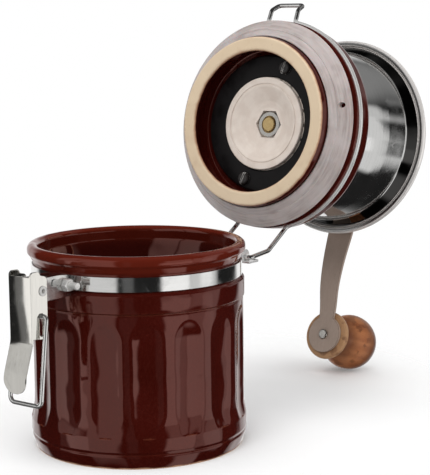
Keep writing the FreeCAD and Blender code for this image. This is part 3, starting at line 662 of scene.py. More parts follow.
@dataclass(frozen=True)
class SpunBowl(Steel):
    """Polished spun sheet with a painted dark reflection outside on its flare, and a paler rolled lip that is
    partly a painted highlight.
    """

    lip: tuple = (186.72 * MM, 187.0 * MM)
    lip_metal: float = 0.5
    lip_tint: tuple = (0.95, 0.90, 0.87, 1.0)
    lip_rough: float = 0.1
    flare: tuple = (180.2 * MM, 180.5 * MM)
    flare_dark_reflection: tuple = (0.06, 0.058, 0.056, 1.0)
    outside: tuple = (-0.3, -0.2)

    def pattern(self, s: Surface) -> None:
        """Polished metal, a painted dark reflection outside on the flare, turning duller and paler on the
        lip, the paler tone partly a painted highlight.

        Args:
            s: surface of the material.
        """
        super().pattern(s)
        height = s.split(s.where)[2]
        flare = s.times(s.remap(height, *self.flare), s.remap(height, *self.lip, 1.0, 0.0))
        axis = PLACE_MATRIX[self.place].to_3x3() @ Vector((0.0, 0.0, 1.0))
        facing = s.measure("DOT_PRODUCT", s.node("ShaderNodeTexCoord").outputs["Normal"], axis)
        outside = s.remap(facing, *self.outside, 1.0, 0.0)
        # Paler, less metallic lip: duller metal, partly a painted highlight.
        colour = s.mix(s.fed("Base Color"), self.lip_tint, s.remap(height, *self.lip, 0.0, 0.8))
        # Painted dark reflection outside on the flare.
        s.put({"Base Color": s.mix(colour, self.flare_dark_reflection, s.times(flare, outside)),
               "Metallic": s.remap(height, *self.lip, 1.0, self.lip_metal),
               "Roughness": s.plus(s.fed("Roughness"), s.remap(height, *self.lip, 0.0, self.lip_rough))})


@dataclass(frozen=True)
class RingWire(Steel):
    """Bright wire whose ring is duller and less metallic in its groove, its paler tone a painted highlight
    line, while its loops stay polished.
    """

    ring_out: tuple = (59.4 * MM, 60.4 * MM)
    ring_metal: float = 0.6
    ring_rough: float = 0.08

    def pattern(self, s: Surface) -> None:
        """Polished wire, duller where it lies within the ring, with a paler, less metallic tone there as a
        painted highlight line.

        Args:
            s: surface of the material.
        """
        super().pattern(s)
        reach = s.radius(s.where)
        # Less metallic ring: its paler tone is a painted highlight line.
        s.put({"Metallic": s.remap(reach, *self.ring_out, self.ring_metal, 1.0),
               "Roughness": s.plus(s.fed("Roughness"), s.remap(reach, *self.ring_out, self.ring_rough, 0.0))})


@dataclass(frozen=True)
class BlackCasting(Finish):
    """Black coated casting with fine sand texture and rubbed edges."""

    coat: tuple = (0.004, 0.0032, 0.0034, 1.0)
    coat_pale: tuple = (0.009, 0.0075, 0.0078, 1.0)
    rubbed: tuple = (0.05, 0.046, 0.044, 1.0)
    rough: tuple = (0.3, 0.45)
    edge_radius: float = 0.5 * MM
    sand: float = 0.05 * MM
    sand_size: float = 2200.0
    shine: float = 0.22

    def pattern(self, s: Surface) -> None:
        """Fine grained black coat, a little lighter where it is rubbed.

        Args:
            s: surface of the material.
        """
        edge = s.effect(effects.edge, radius=self.edge_radius, low=0.05, high=0.3, **{"break": 0.1})
        cloud = s.effect(effects.mottle, size=120.0)[0]
        s.put({"Base Color": s.mix(s.mix(self.coat, self.coat_pale, cloud), self.rubbed, edge["Mask"], 0.5),
               "Roughness": s.remap(cloud, 0.0, 1.0, *self.rough), "Specular IOR Level": self.shine})
        s.relief(s.noise(s.where, self.sand_size, 3.0), self.sand, edge["Normal"])


@dataclass(frozen=True)
class BurrCeramic(Finish):
    """Warm light grey fired ceramic of the burrs with faint turning rings."""

    body: tuple = (0.73, 0.63, 0.555, 1.0)
    body_pale: tuple = (0.80, 0.71, 0.635, 1.0)
    ring_shade: tuple = (0.60, 0.53, 0.47, 1.0)
    rough: tuple = (0.42, 0.6)
    edge_radius: float = 0.3 * MM
    ring_depth: float = 0.02 * MM

    def pattern(self, s: Surface) -> None:
        """Matte cloudy ceramic with faint rings.

        Args:
            s: surface of the material.
        """
        rings = s.effect(effects.spun, rings=1100.0, drift=0.3)
        cloud = s.effect(effects.mottle, size=150.0, detail=5.0)[0]
        edge = s.effect(effects.edge, radius=self.edge_radius)
        colour = s.mix(self.body, self.body_pale, cloud)
        s.put({"Base Color": s.mix(colour, self.ring_shade, rings["Mask"], 0.16),
               "Roughness": s.remap(cloud, 0.0, 1.0, *self.rough)})
        s.relief(rings["Height"], self.ring_depth, edge["Normal"])


@dataclass(frozen=True)
class SealRubber(Finish):
    """Pinkish grey silicone of the sealing ring."""

    rubber: tuple = (0.30, 0.25, 0.235, 1.0)
    rubber_pale: tuple = (0.41, 0.355, 0.345, 1.0)
    bloom: tuple = (0.53, 0.475, 0.46, 1.0)
    dust: tuple = (0.62, 0.58, 0.56, 1.0)
    rough: tuple = (0.38, 0.52)
    streak_depth: float = 0.02 * MM
    glow: float = 0.15
    glow_reach: float = 2.0 * MM

    def pattern(self, s: Surface) -> None:
        """Soft satin rubber with circular streaks, dust and moulding bloom.

        Args:
            s: surface of the material.
        """
        cloud = s.effect(effects.mottle, size=70.0, detail=4.0)[0]
        streaks = s.effect(effects.spun, rings=900.0, drift=3.0)
        colour = s.mix(s.mix(self.rubber, self.rubber_pale, cloud), self.bloom, streaks["Mask"], 0.6)
        specks = s.effect(effects.specks, size=700.0, radius=0.2, share=0.12)[0]
        s.put({"Base Color": s.mix(colour, self.dust, specks, 0.4),
               "Roughness": s.remap(cloud, 0.0, 1.0, *self.rough),
               "Subsurface Weight": self.glow, "Subsurface Scale": self.glow_reach})
        s.relief(streaks["Height"], self.streak_depth)


@dataclass(frozen=True)
class KnobWood(Finish):
    """Orange-brown oiled hardwood, grain along the knob's axis."""

    early: tuple = (0.285, 0.095, 0.034, 1.0)
    late: tuple = (0.37, 0.138, 0.052, 1.0)
    face: tuple = (0.38, 0.24, 0.128, 1.0)
    # Dark colour for blotchy grime and for the painted shade in the waist and at the ball's end.
    grime_and_shade: tuple = (0.075, 0.022, 0.011, 1.0)
    pore: tuple = (0.05, 0.016, 0.008, 1.0)
    bleached: tuple = (0.40, 0.20, 0.095, 1.0)
    ring_stretch: tuple = (120.0, 120.0, 14.0)
    pore_stretch: tuple = (2600.0, 2600.0, 150.0)
    face_edge: tuple = (3.2 * MM, 4.6 * MM)
    # Heights of the painted shade in the waist and towards the ball's end.
    waist_shade_from: tuple = (4.0 * MM, 8.0 * MM)
    waist_shade_to: tuple = (11.0 * MM, 19.0 * MM)
    ball_end_shade: tuple = (18.0 * MM, 32.5 * MM)
    rough: tuple = (0.3, 0.42)
    grain_depth: float = 0.03 * MM
    shine: float = 0.3

    def pattern(self, s: Surface) -> None:
        """Growth rings cut along the axis, short pores, blotchy grime, painted shade in the waist and at the
        ball's end, and an oiled sheen.

        Args:
            s: surface of the material.
        """
        laid = s.warped(s.vector("MULTIPLY", s.where, self.ring_stretch), 0.55, 3.0, 1.6)
        rings = s.node("ShaderNodeTexWave", {"Vector": laid, "Scale": 0.55, "Distortion": 2.2, "Detail": 3.0,
                                             "Detail Scale": 1.4},
                       wave_type="RINGS", rings_direction="Y").outputs[1]
        pore = s.remap(s.noise(s.vector("MULTIPLY", s.where, self.pore_stretch), 1.0, 2.0), 0.60, 0.72)
        height = s.split(s.where)[2]
        colour = s.mix(self.early, self.late, rings)
        colour = s.mix(colour, self.face, s.remap(height, *self.face_edge, 0.75, 0.0, smooth=True))
        # Painted shade: darker in the waist next to the flange and towards the far end of the ball, mixed
        # with blotchy grime.
        waist = s.times(s.remap(height, *self.waist_shade_from, smooth=True),
                        s.remap(height, *self.waist_shade_to, 0.8, 0.0, smooth=True))
        ball = s.remap(height, *self.ball_end_shade, 0.0, 0.88, smooth=True)
        blotch = s.effect(effects.mottle, size=150.0, detail=4.0, low=0.5, high=0.62)[0]
        grime_and_shade_mask = s.math("MAXIMUM", s.math("MAXIMUM", waist, ball), s.times(blotch, 0.6))
        colour = s.mix(s.mix(colour, self.grime_and_shade, grime_and_shade_mask), self.pore, pore, 0.6)
        cloud = s.effect(effects.mottle, size=60.0)[0]
        s.put({"Base Color": s.mix(colour, self.bleached, cloud, 0.25),
               "Roughness": s.remap(cloud, 0.0, 1.0, *self.rough), "Specular IOR Level": self.shine})
        s.relief(s.math("SUBTRACT", rings, pore), self.grain_depth)


@dataclass(frozen=True)
class FloorSheet(Finish):
    """Plain pale floor that keeps the shadow and fades out into the white round it."""

    sheet: tuple = (0.93, 0.93, 0.93, 1.0)
    sheet_pale: tuple = (0.94, 0.94, 0.94, 1.0)
    middle: tuple = (0.08, 0.05, 0.0)
    fade: tuple = (0.09, 0.21)
    rough: float = 0.7
    shine: float = 0.1

    def pattern(self, s: Surface) -> None:
        """Matte white with the faintest mottling, see-through at its rim and left out of mirrored light.

        Args:
            s: surface of the material.
        """
        cloud = s.effect(effects.mottle, size=3.0)[0]
        reach = s.measure("LENGTH", s.vector("SUBTRACT", s.where, self.middle))
        plain = s.remap(reach, *self.fade, 1.0, 0.0, smooth=True)
        mirrored = s.node("ShaderNodeLightPath").outputs["Is Glossy Ray"]
        s.put({"Base Color": s.mix(self.sheet, self.sheet_pale, cloud), "Roughness": self.rough,
               "Specular IOR Level": self.shine, "Alpha": s.times(s.rest_of(mirrored), plain)})


@dataclass(frozen=True)
class Palette:
    """Every finish of the grinder."""

    jar_glaze: Finish = Glaze("jar_glaze", Place.JAR, rim_from=93.0 * MM, inside_shade_radius=50.2 * MM)
    lid_glaze: Finish = Glaze("lid_glaze", Place.LID, bare_below=97.3 * MM)
    seal: Finish = SealRubber("seal_silicone", Place.LID)
    band_steel: Finish = Steel("band_steel", Place.JAR, stretch=(60.0, 60.0, 3000.0))
    latch_steel: Finish = PressedSteel(
        "latch_steel", Place.JAR, tint=(0.88, 0.855, 0.80, 1.0), shade=(0.76, 0.735, 0.68, 1.0),
        stretch=(900.0, 2400.0, 60.0), rough=(0.09, 0.14))
    wire_steel: Finish = Steel(
        "bail_steel", Place.JAR, stretch=(1500.0, 1500.0, 50.0), rough=(0.07, 0.14), metal=0.92)
    lid_wire_steel: Finish = RingWire("lid_wire_steel", Place.LID, rings=2600.0, rough=(0.07, 0.14))
    hopper_steel: Finish = SpunBowl("hopper_steel", Place.LID, rings=2100.0, rough=(0.06, 0.12))
    # Crank: its dark edges are painted shade along the strip's side faces.
    crank_steel: Finish = Steel(
        "crank_steel", Place.CRANK, tint=(0.36, 0.275, 0.225, 1.0), shade=(0.26, 0.195, 0.157, 1.0),
        stretch=(45.0, 2600.0, 2600.0), rough=(0.36, 0.48), depth=0.012 * MM, metal=0.12,
        edge_radius=0.5 * MM, edge_wear_and_light=(0.045, 0.036, 0.03, 1.0), edge_wear_and_light_share=0.75)
    hinge_steel: Finish = Steel(
        "hinge_steel", Place.JAR, tint=(0.93, 0.92, 0.91, 1.0), shade=(0.80, 0.79, 0.78, 1.0),
        rough=(0.09, 0.2), metal=0.5)
    fastener_steel: Finish = Steel(
        "clamp_steel", Place.JAR, tint=(0.85, 0.84, 0.82, 1.0), shade=(0.66, 0.65, 0.63, 1.0), metal=0.55,
        stretch=(900.0, 900.0, 900.0), rough=(0.2, 0.36), depth=0.008 * MM)
    mill_steel: Finish = Steel(
        "mill_steel", Place.LID, tint=(0.70, 0.68, 0.64, 1.0), shade=(0.55, 0.53, 0.49, 1.0), rings=1500.0,
        rough=(0.2, 0.34), depth=0.008 * MM)
    stirrup_steel: Finish = Steel(
        "stirrup_steel", Place.LID, tint=(0.66, 0.66, 0.65, 1.0), shade=(0.5, 0.5, 0.49, 1.0),
        stretch=(2200.0, 2200.0, 70.0), rough=(0.2, 0.34))
    brass: Finish = Steel(
        "turned_brass", Place.LID, tint=(0.76, 0.56, 0.27, 1.0), shade=(0.60, 0.41, 0.18, 1.0), rings=2400.0,
        rough=(0.16, 0.3), depth=0.01 * MM)
    black: Finish = BlackCasting("black_casting", Place.LID)
    # Screws: the bright edges on the black heads are painted glints.
    blackened: Finish = Steel(
        "blackened_steel", Place.LID, tint=(0.035, 0.031, 0.03, 1.0), shade=(0.02, 0.018, 0.018, 1.0),
        rings=1500.0, rough=(0.25, 0.4), edge_radius=0.4 * MM, metal=0.3, edge_wear_and_light=(0.95, 0.92, 0.88, 1.0),
        edge_wear_and_light_share=2.5)
    burr: Finish = BurrCeramic("fired_burr", Place.LID)
    wood: Finish = KnobWood("oiled_wood", Place.KNOB)
    floor: Finish = FloorSheet("floor_sheet")


palette = Palette()


# Mesh helpers


def rounded_line(points: Sequence[tuple], step: float = 0.35, closed: bool = True) -> list:
    """Samples a line of (radius, height, corner radius) points with its corners rounded.

    Args:
        points: corner points in millimetres, the third value is the corner radius.
        step: longest distance between samples on an arc, in millimetres.
        closed: whether the last point joins the first.

    Returns:
        List of (radius, height) samples in millimetres.
    """
    out: list = []
    count = len(points)
    for i in range(count):
        here = Vector(points[i][:2])
        radius = points[i][2] if len(points[i]) > 2 else 0.0
        if radius <= 0 or (not closed and i in (0, count - 1)):
            out.append(tuple(here))
            continue
        before = (Vector(points[i - 1][:2]) - here).normalized()
        after = (Vector(points[(i + 1) % count][:2]) - here).normalized()
        half = before.angle(after) / 2
        run = radius / math.tan(half)
        centre = here + (before + after).normalized() * (radius / math.sin(half))
        start = here + before * run - centre
        stop = here + after * run - centre
        sweep = math.pi - 2 * half
        turn = 1.0 if start.x * stop.y - start.y * stop.x > 0 else -1.0
        pieces = max(3, math.ceil(sweep * radius / step))
        for k in range(pieces + 1):
            angle = turn * sweep * k / pieces
            out.append((centre.x + start.x * math.cos(angle) - start.y * math.sin(angle),
                        centre.y + start.x * math.sin(angle) + start.y * math.cos(angle)))
    return out


def lathe(name: str, line: Sequence[tuple], segments: int, place: Matrix,
          shape: Optional[Callable[[float, float, float], float]] = None) -> bpy.types.Object:
    """Turns a closed line about the upright axis into a smooth mesh piece.

    Args:
        name: name of the piece.
        line: (radius, height) points in millimetres, running closed.
        segments: number of steps round the axis.
        place: matrix that brings the piece to its stored place.
        shape: optional rule (radius, height, angle) to a new radius in millimetres.

    Returns:
        The new object.
    """
    mesh = bpy.data.meshes.new(name)
    made = bmesh.new()
    columns: list = []
    axis_points: dict = {}
    for s in range(segments):
        angle = 2 * math.pi * s / segments
        column = []
        for k, (radius, height) in enumerate(line):
            if radius < 1e-6:
                if k not in axis_points:
                    axis_points[k] = made.verts.new((0.0, 0.0, height * MM))
                column.append(axis_points[k])
                continue
            r = shape(radius, height, angle) if shape else radius
            column.append(made.verts.new((r * math.cos(angle) * MM, r * math.sin(angle) * MM, height * MM)))
        columns.append(column)
    count = len(line)
    for s in range(segments):
        a, b = columns[s], columns[(s + 1) % segments]
        for k in range(count):
            n = (k + 1) % count
            corners = [a[k], b[k], b[n], a[n]]
            unique = [v for i, v in enumerate(corners) if v not in corners[:i]]
            if len(unique) > 2:
                made.faces.new(unique)
    bmesh.ops.recalc_face_normals(made, faces=made.faces)
    made.to_mesh(mesh)
    made.free()
    mesh.transform(place)
    mesh.shade_smooth()
    mesh.set_sharp_from_angle(angle=SHARP_ANGLE)
    piece = bpy.data.objects.new(name, mesh)
    bpy.context.scene.collection.objects.link(piece)
    return piece


def paint(target: bpy.types.Object, finish: Finish) -> None:
    """Gives an object one finish all over."""
    target.data.materials.clear()
    target.data.materials.append(finish.build())


def dress(nodes: Iterable[str], finish: Finish) -> None:
    """Gives carried-over nodes a finish.

    Args:
        nodes: names of the nodes.
        finish: the finish they get.
    """
    for name in nodes:
        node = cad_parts[name]
        for material_slot in node.material_slots:
            material_slot.link = "OBJECT"
            material_slot.material = finish.build()
        log.info("dressed %s with %s", name, finish.name)


def seat(piece: bpy.types.Object, body: str, node: str, finish: Finish) -> None:
    """Puts a piece on its body in place of a node.

    Args:
        piece: the piece.
        body: name of the body it moves with.
        node: node that it stands for.
        finish: finish of the piece.
    """
    paint(piece, finish)
    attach(piece, body)
    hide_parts(node)
    log.info("built %s on %s for %s", piece.name, body, node)


# The grinder's parts


@dataclass
class FlutedJar:
    """Glazed jar: rolled rim, plain collar, scalloped flutes and a foot, sized in millimetres."""

    groove_out: float = 43.0
    groove_in: float = 38.0
    groove_depth: float = 1.2
    foot_radius: float = 52.4
    foot_lip: tuple = (54.6, 6.6)
    foot_seam: tuple = (54.2, 7.6)
    ridge_radius: float = 54.8
    ridge_low: float = 9.0
    ridge_high: float = 15.5
    rim_radius: float = 52.15
    rim_roll: float = 2.85
    rim_height: float = 100.78
    inner_radius: float = 42.5
    floor: float = 19.0
    wall_radius: float = 53.6
    wall_low: float = 21.0
    collar_radius: float = 54.3
    collar_low: float = 75.8
    band_low: float = 86.7
    band_high: float = 93.8
    band_seat: float = 52.3
    flutes: int = 16
    flute_phase: float = math.radians(0.4)
    flute_depth: float = 1.5
    flute_tool: float = 34.0
    flute_low: float = 17.5
    flute_high: float = 71.5
    glaze_soft: float = 0.4
    fine_radius: float = 50.0
    fine_low: float = 12.0
    fine_high: float = 76.0
    fine_step: float = 0.5
    plain_step: float = 4.0
    steps_round: int = 576

    def corners(self) -> list:
        """Corners of the wall's outline as (radius, height, corner radius), from the foot up and down inside.

        Returns:
            List of the corners in millimetres.
        """
        rim, roll, top = self.rim_radius, self.rim_roll, self.rim_height
        return [
            (self.groove_out, 0.0, 0.4), (self.foot_radius, 0.0, 1.0), (*self.foot_lip, 1.5),
            (*self.foot_seam, 0.4), (self.ridge_radius, self.ridge_low, 1.0),
            (self.ridge_radius, self.ridge_high, 6.0), (self.wall_radius, self.wall_low, 8.0),
            (self.wall_radius, self.collar_low - 1.2, 1.5), (self.collar_radius - 1.1, self.collar_low, 0.3),
            (self.collar_radius, self.collar_low + 0.5, 0.5),
            (self.collar_radius, self.band_low - 1.8, 1.4), (self.band_seat, self.band_low - 0.4, 0.6),
            (self.band_seat, self.band_high + 0.9, 0.6), (rim + roll - 1.2, top - roll - 0.2, 1.0),
            (rim + roll, top - 1.6, 1.4), (rim + roll, top + roll, roll - 0.02),
            (rim - roll, top + roll, roll - 0.02), (rim - roll, top - 4.0, 3.0),
            (self.inner_radius, self.band_low - 4.0, 8.0), (self.inner_radius, self.floor, 9.0),
            (0.0, self.floor), (0.0, 0.0), (self.groove_in, 0.0, 0.4),
            (self.groove_in, self.groove_depth, 0.4), (self.groove_out, self.groove_depth, 0.4),
        ]

    def outline(self) -> list:
        """Closed outline of the wall, finely sampled where the flutes end.

        Returns:
            List of (radius, height) points in millimetres.
        """
        line = rounded_line(self.corners())
        out: list = []
        for i, here in enumerate(line):
            after = line[(i + 1) % len(line)]
            outside = min(here[0], after[0]) > self.fine_radius
            fine = outside and self.fine_low < (here[1] + after[1]) / 2 < self.fine_high
            step = self.fine_step if fine else self.plain_step
            pieces = max(1, math.ceil(math.dist(here, after) / step))
            out += [(here[0] + (after[0] - here[0]) * k / pieces, here[1] + (after[1] - here[1]) * k / pieces)
                    for k in range(pieces)]
        return out

    def fluted(self, radius: float, height: float, angle: float) -> float:
        """Radius of the wall where a flute may cut into it.

        Args:
            radius: radius without flutes.
            height: height of the point.
            angle: angle round the jar.

        Returns:
            Radius with the flute taken away and its edges softened.
        """
        if radius < self.fine_radius or not self.flute_low - 2.0 <= height <= self.flute_high + 2.0:
            return radius
        pitch = 2 * math.pi / self.flutes
        off = (angle - self.flute_phase + pitch / 2) % pitch - pitch / 2
        reach = self.wall_radius - self.flute_depth + self.flute_tool
        half_width = math.sqrt(self.flute_tool ** 2 - (self.flute_tool - self.flute_depth) ** 2)
        beyond = max(0.0, self.flute_low + half_width - height, height - self.flute_high + half_width)
        disc = self.flute_tool ** 2 - beyond ** 2 - (reach * math.sin(off)) ** 2
        if disc <= 0:
            return radius
        cut = reach * math.cos(off) - math.sqrt(disc)
        soft = self.glaze_soft
        blend = max(soft - abs(radius - cut), 0.0) / soft
        return min(radius, cut) - blend * blend * soft * 0.25

    def build(self) -> None:
        """Builds the glazed wall in place of the plain solid."""
        piece = lathe("jar_wall", self.outline(), self.steps_round, Matrix.Identity(4), self.fluted)
        seat(piece, "jar_body", "jar", palette.jar_glaze)


@dataclass
class ClampHardware:
    """Band, clamp, latch bracket and hinge bracket on the jar's neck."""

    sheet: Sequence[str] = ("neck_band", "latch_bracket")
    hinge: Sequence[str] = ("hinge_bracket",)
    fasteners: Sequence[str] = ("clamp_bolt", "clamp_nut", "lever_pin", "hinge_rivets")

    def build(self) -> None:
        """Dresses the sheet and the fasteners."""
        dress(self.sheet, palette.band_steel)
        dress(self.hinge, palette.hinge_steel)
        dress(self.fasteners, palette.fastener_steel)


@dataclass
class Latch:
    """Lever with its wire bail."""

    def build(self) -> None:
        """Dresses the lever and the bail."""
        dress(["latch_lever"], palette.latch_steel)
        dress(["latch_bail"], palette.wire_steel)


@dataclass
class LidShell:
    """Ceramic lid body, sealing ring and the wire round it."""

    def build(self) -> None:
        """Dresses the lid body, the ring and the wire."""
        dress(["lid_body"], palette.lid_glaze)
        dress(["lid_gasket"], palette.seal)
        dress(["lid_wire"], palette.lid_wire_steel)


@dataclass
class MillUnit:
    """Housing, burrs, shaft and what holds them."""

    steel: Sequence[str] = ("burr_nut", "burr_washer", "screw_nuts", "thrust_washer", "adjusting_nut")
    brass: Sequence[str] = ("mill_shaft", "lower_bush", "upper_bush")

    def build(self) -> None:
        """Dresses each part of the mill."""
        dress(["mill_housing"], palette.black)
        dress(["mill_screws"], palette.blackened)
        dress(["fixed_burr", "grinding_disc"], palette.burr)
        dress(self.steel, palette.mill_steel)
        dress(self.brass, palette.brass)
        dress(["shaft_stirrup"], palette.stirrup_steel)


@dataclass
class Hopper:
    """Steel bowl with a rolled rim."""

    def build(self) -> None:
        """Dresses the bowl."""
        dress(["hopper_bowl"], palette.hopper_steel)


@dataclass
class Crank:
    """Bent strip crank with its nuts and the knob's pin."""

    def build(self) -> None:
        """Dresses the strip and its fasteners."""
        dress(["crank_arm"], palette.crank_steel)
        dress(["crank_seat_nut", "crank_cap_nut", "knob_pin", "knob_washer"], palette.mill_steel)


@dataclass
class Knob:
    """Turned wooden knob: flange, waist and ball, sized in millimetres."""

    washer: float = 0.4
    flange: float = 14.2
    ball: float = 16.5
    ball_height: float = 26.4
    waist: float = 8.6
    waist_height: float = 8.8
    bore: float = 2.1
    recess: float = 4.6
    pin_gap: float = 0.06
    edge_out: float = 1.2
    edge_half: float = 1.95
    touch: float = math.radians(-48)
    top: float = math.radians(68)
    edge_steps: int = 12
    ball_steps: int = 48
    steps_round: int = 128

    def bend(self, ends: tuple, pulls: tuple) -> list:
        """Smooth line between two points that starts and ends along given directions.

        Args:
            ends: first and last point.
            pulls: direction and pull at each end.

        Returns:
            List of (radius, height) points in millimetres, without the first one.
        """
        line = []
        for k in range(1, self.edge_steps + 1):
            t = k / self.edge_steps
            p = (ends[0] * (2 * t ** 3 - 3 * t ** 2 + 1) + pulls[0] * (t ** 3 - 2 * t ** 2 + t)
                 + ends[1] * (-2 * t ** 3 + 3 * t ** 2) + pulls[1] * (t ** 3 - t ** 2))
            line.append((p.x, p.y))
        return line

    def outline(self) -> list:
        """Closed outline of the knob in its own coordinates: flange, waist, ball and bore.

        Returns:
            List of (radius, height) points in millimetres.
        """
        base, touch, top = self.washer, self.touch, self.top
        centre = base + self.ball_height
        line = [(self.bore, base), (self.flange - 1.0, base)]
        for k in range(1, self.edge_steps + 1):
            a = math.radians(-90 + 165 * k / self.edge_steps)
            line.append((self.flange - self.edge_out + self.edge_out * math.cos(a),
                         base + self.edge_half + self.edge_half * math.sin(a)))
        start = Vector((self.flange - 1.8, base + 2 * self.edge_half))
        neck = Vector((self.waist, base + self.waist_height))
        low = Vector((self.ball * math.cos(touch), centre + self.ball * math.sin(touch)))
        upright = Vector((0.4, 4.0))
        line += self.bend((start, neck), (Vector((-5.0, 1.6)), upright))
        line += self.bend((neck, low), (upright, Vector((3.2, 2.8))))
        for k in range(1, self.ball_steps + 1):
            a = touch + (top - touch) * k / self.ball_steps
            line.append((self.ball * math.cos(a), centre + self.ball * math.sin(a)))
        crown = centre + self.ball * math.sin(top)
        seat_low = centre + self.ball - self.recess - self.pin_gap
        line += [(self.recess, crown), (self.recess, seat_low), (self.bore, seat_low)]
        return line

    def build(self) -> None:
        """Builds the turned knob in place of the plain solid."""
        piece = lathe("knob_turned", self.outline(), self.steps_round, KNOB_SEAT)
        seat(piece, "knob_body", "crank_knob", palette.wood)


# Studio


@dataclass(frozen=True)
class Lamp:
    """A soft lamp: direction in degrees from +X, height, reach and face in metres, power in watts."""

    name: str
    azimuth: float
    height: float
    reach: float
    width: float
    tall: float
    power: float


@dataclass(frozen=True)
class Card:
    """A window or card of the studio as gloss and metal see it, in degrees round and above the floor."""

    around: float
    half_width: float
    low: float
    high: float
    strength: float
    soft: float = 2.5
    soft_end: float = 12.0

    def mask(self, g: Graph, around: Socket, rise: Socket) -> Socket:
        """Brightness of the card in a direction.

        Args:
            g: graph of the world.
            around: direction round the upright axis in degrees.
            rise: direction above the floor in degrees.

        Returns:
            The card's strength inside its edges and nothing outside.
        """
        off = g.node("ShaderNodeMath", {0: g.math("SUBTRACT", around, self.around), 1: 180.0, 2: -180.0},
                     operation="WRAP").outputs[0]
        wide = g.remap(g.math("ABSOLUTE", off), self.half_width - self.soft, self.half_width + self.soft,
                       self.strength, 0.0, smooth=True)
        above = g.remap(rise, self.low - self.soft_end, self.low + self.soft_end, smooth=True)
        below = g.remap(rise, self.high - self.soft_end, self.high + self.soft_end, 1.0, 0.0, smooth=True)
        return g.times(wide, g.times(above, below))


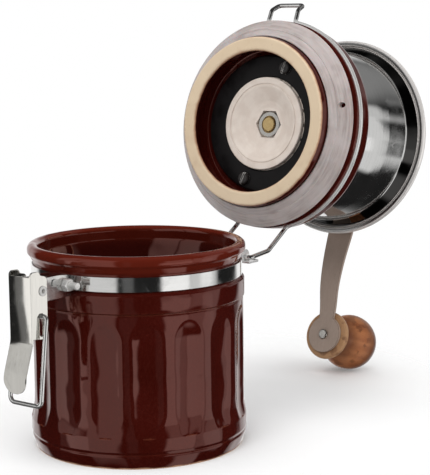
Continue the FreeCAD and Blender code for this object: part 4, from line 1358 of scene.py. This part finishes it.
@dataclass
class Studio:
    """Camera, floor, lamps and surroundings, placed in metres."""

    azimuth: float = math.radians(-52.26)
    elevation: float = math.radians(8.70)
    roll: float = math.radians(-0.62)
    distance: float = 0.760
    aim_right: float = 0.03961
    aim_height: float = 0.1049
    lens: float = 126.27
    sensor: float = 36.0
    floor_size: float = 0.6
    lamp_aim: tuple = (0.05, 0.0, 0.1)
    lamps: Sequence[Lamp] = (
        Lamp("key_lamp", 200.0, 0.75, 0.75, 0.5, 0.7, 3.7),
        Lamp("fill_lamp", 285.0, 0.5, 0.95, 0.5, 0.8, 3.0),
        Lamp("top_lamp", 60.0, 1.2, 0.25, 0.8, 0.8, 4.4),
    )
    ambient: float = 0.72
    dark: float = 0.012
    ceiling: float = 0.06
    ceiling_rise: tuple = (50.0, 80.0)
    cards: Sequence[Card] = (
        Card(142.0, 14.0, 3.0, 50.0, 0.58, 2.5, 3.0),
        Card(152.0, 11.3, -22.0, 3.0, 0.98, 2.0, 3.0),
        Card(135.0, 8.0, -22.0, 3.0, 0.14, 2.5, 3.0),
        Card(179.0, 20.0, -45.0, 45.0, 0.66),
        Card(211.0, 6.0, -45.0, 20.0, 0.10),
        Card(263.0, 16.5, -20.0, -6.0, 1.0, 2.5, 2.0),
        Card(263.0, 14.0, -8.0, 17.0, 0.62, 2.5, 3.0),
        Card(286.0, 7.0, -20.0, 14.0, 0.62, 2.5, 2.0),
        Card(280.0, 17.0, -62.0, -34.0, 0.8, 3.0, 4.0),
        Card(300.5, 9.5, -20.0, -5.0, 0.9, 2.5, 2.0),
        Card(303.5, 12.0, -25.0, -2.0, 0.66, 2.0, 3.0),
        Card(306.0, 12.5, -38.0, -19.0, 0.66, 2.0, 3.0),
        Card(305.0, 11.5, -9.0, 15.0, 0.66, 1.5, 3.0),
        Card(310.0, 13.0, 9.0, 22.0, 0.56, 3.0, 3.0),
        Card(350.0, 18.0, 1.0, 22.0, 0.45, 4.0, 4.0),
        Card(345.0, 36.0, 24.0, 58.0, 0.22, 8.0, 8.0),
        Card(357.0, 8.0, -36.0, -17.0, 0.7, 3.0, 4.0),
        Card(42.0, 45.0, -40.0, 20.0, 0.95, 6.0),
    )

    def camera(self) -> None:
        """Places the camera at the photograph's angle."""
        a, e = self.azimuth, self.elevation
        forward = Vector((-math.sin(a) * math.cos(e), math.cos(a) * math.cos(e), -math.sin(e)))
        right = Vector((math.cos(a), math.sin(a), 0.0))
        up = right.cross(forward)
        tilted = right * math.cos(self.roll) + up * math.sin(self.roll)
        up = tilted.cross(forward)
        target = tilted * self.aim_right + Vector((0.0, 0.0, self.aim_height))
        data = bpy.data.cameras.new("photo_camera")
        data.lens = self.lens
        data.sensor_fit = "HORIZONTAL"
        data.sensor_width = self.sensor
        data.clip_start = 0.05
        data.clip_end = 30.0
        made = bpy.data.objects.new("photo_camera", data)
        turn = Matrix((tilted, up, -forward)).transposed()
        made.matrix_world = Matrix.Translation(target - forward * self.distance) @ turn.to_4x4()
        bpy.context.scene.collection.objects.link(made)
        bpy.context.scene.camera = made

    def floor(self) -> None:
        """Lays a plain pale floor."""
        made = bmesh.new()
        bmesh.ops.create_grid(made, x_segments=8, y_segments=8, size=self.floor_size)
        mesh = bpy.data.meshes.new("floor")
        made.to_mesh(mesh)
        made.free()
        sheet = bpy.data.objects.new("floor", mesh)
        bpy.context.scene.collection.objects.link(sheet)
        paint(sheet, palette.floor)

    def hang(self, lamp: Lamp) -> None:
        """Hangs a soft lamp that looks at the middle of the grinder and isn't mirrored itself.

        Args:
            lamp: the lamp.
        """
        data = bpy.data.lights.new(lamp.name, "AREA")
        data.shape = "RECTANGLE"
        data.size = lamp.width
        data.size_y = lamp.tall
        data.energy = lamp.power
        made = bpy.data.objects.new(lamp.name, data)
        a = math.radians(lamp.azimuth)
        spot = Vector((math.cos(a) * lamp.reach, math.sin(a) * lamp.reach, lamp.height))
        aim = Vector(self.lamp_aim) - spot
        made.matrix_world = Matrix.Translation(spot) @ aim.to_track_quat("-Z", "Y").to_matrix().to_4x4()
        made.visible_glossy = False
        bpy.context.scene.collection.objects.link(made)

    def surroundings(self) -> None:
        """White for the camera, windows and cards for gloss, plain grey light for the rest."""
        world = bpy.data.worlds.new("studio")
        bpy.context.scene.world = world
        world.use_nodes = True
        world.node_tree.nodes.clear()
        g = Graph(world.node_tree)
        path = g.node("ShaderNodeLightPath").outputs
        seen = g.math("MAXIMUM", path["Is Camera Ray"], path["Is Transmission Ray"])
        x, y, z = g.split(g.node("ShaderNodeTexCoord").outputs["Generated"])
        around = g.times(g.math("ARCTAN2", y, x), math.degrees(1.0))
        rise = g.times(g.math("ARCSINE", z), math.degrees(1.0))
        gloss = g.remap(rise, *self.ceiling_rise, self.dark, self.ceiling, smooth=True)
        for card in self.cards:
            gloss = g.math("MAXIMUM", gloss, card.mask(g, around, rise))
        mirrored = path["Is Glossy Ray"]
        strength = g.plus(g.times(mirrored, gloss), g.times(g.rest_of(mirrored), self.ambient))
        back = g.node("ShaderNodeBackground", {"Color": (1.0, 1.0, 1.0, 1.0),
                                               "Strength": g.math("MAXIMUM", strength, seen)})
        g.feed(g.node("ShaderNodeOutputWorld").inputs[0], back.outputs[0])

    def build(self) -> None:
        """Sets up the whole studio."""
        bpy.context.scene.view_settings.view_transform = "Standard"
        self.camera()
        self.floor()
        for lamp in self.lamps:
            self.hang(lamp)
        self.surroundings()


def main() -> None:
    """Builds the grinder and its studio."""
    logging.basicConfig(level=logging.INFO, format="%(name)s: %(message)s")
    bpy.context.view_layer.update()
    Studio().build()
    for part in (FlutedJar(), ClampHardware(), Latch(), LidShell(), MillUnit(), Hopper(), Crank(), Knob()):
        part.build()
        log.info("finished %s", type(part).__name__)


if __name__ == "__main__":
    main()
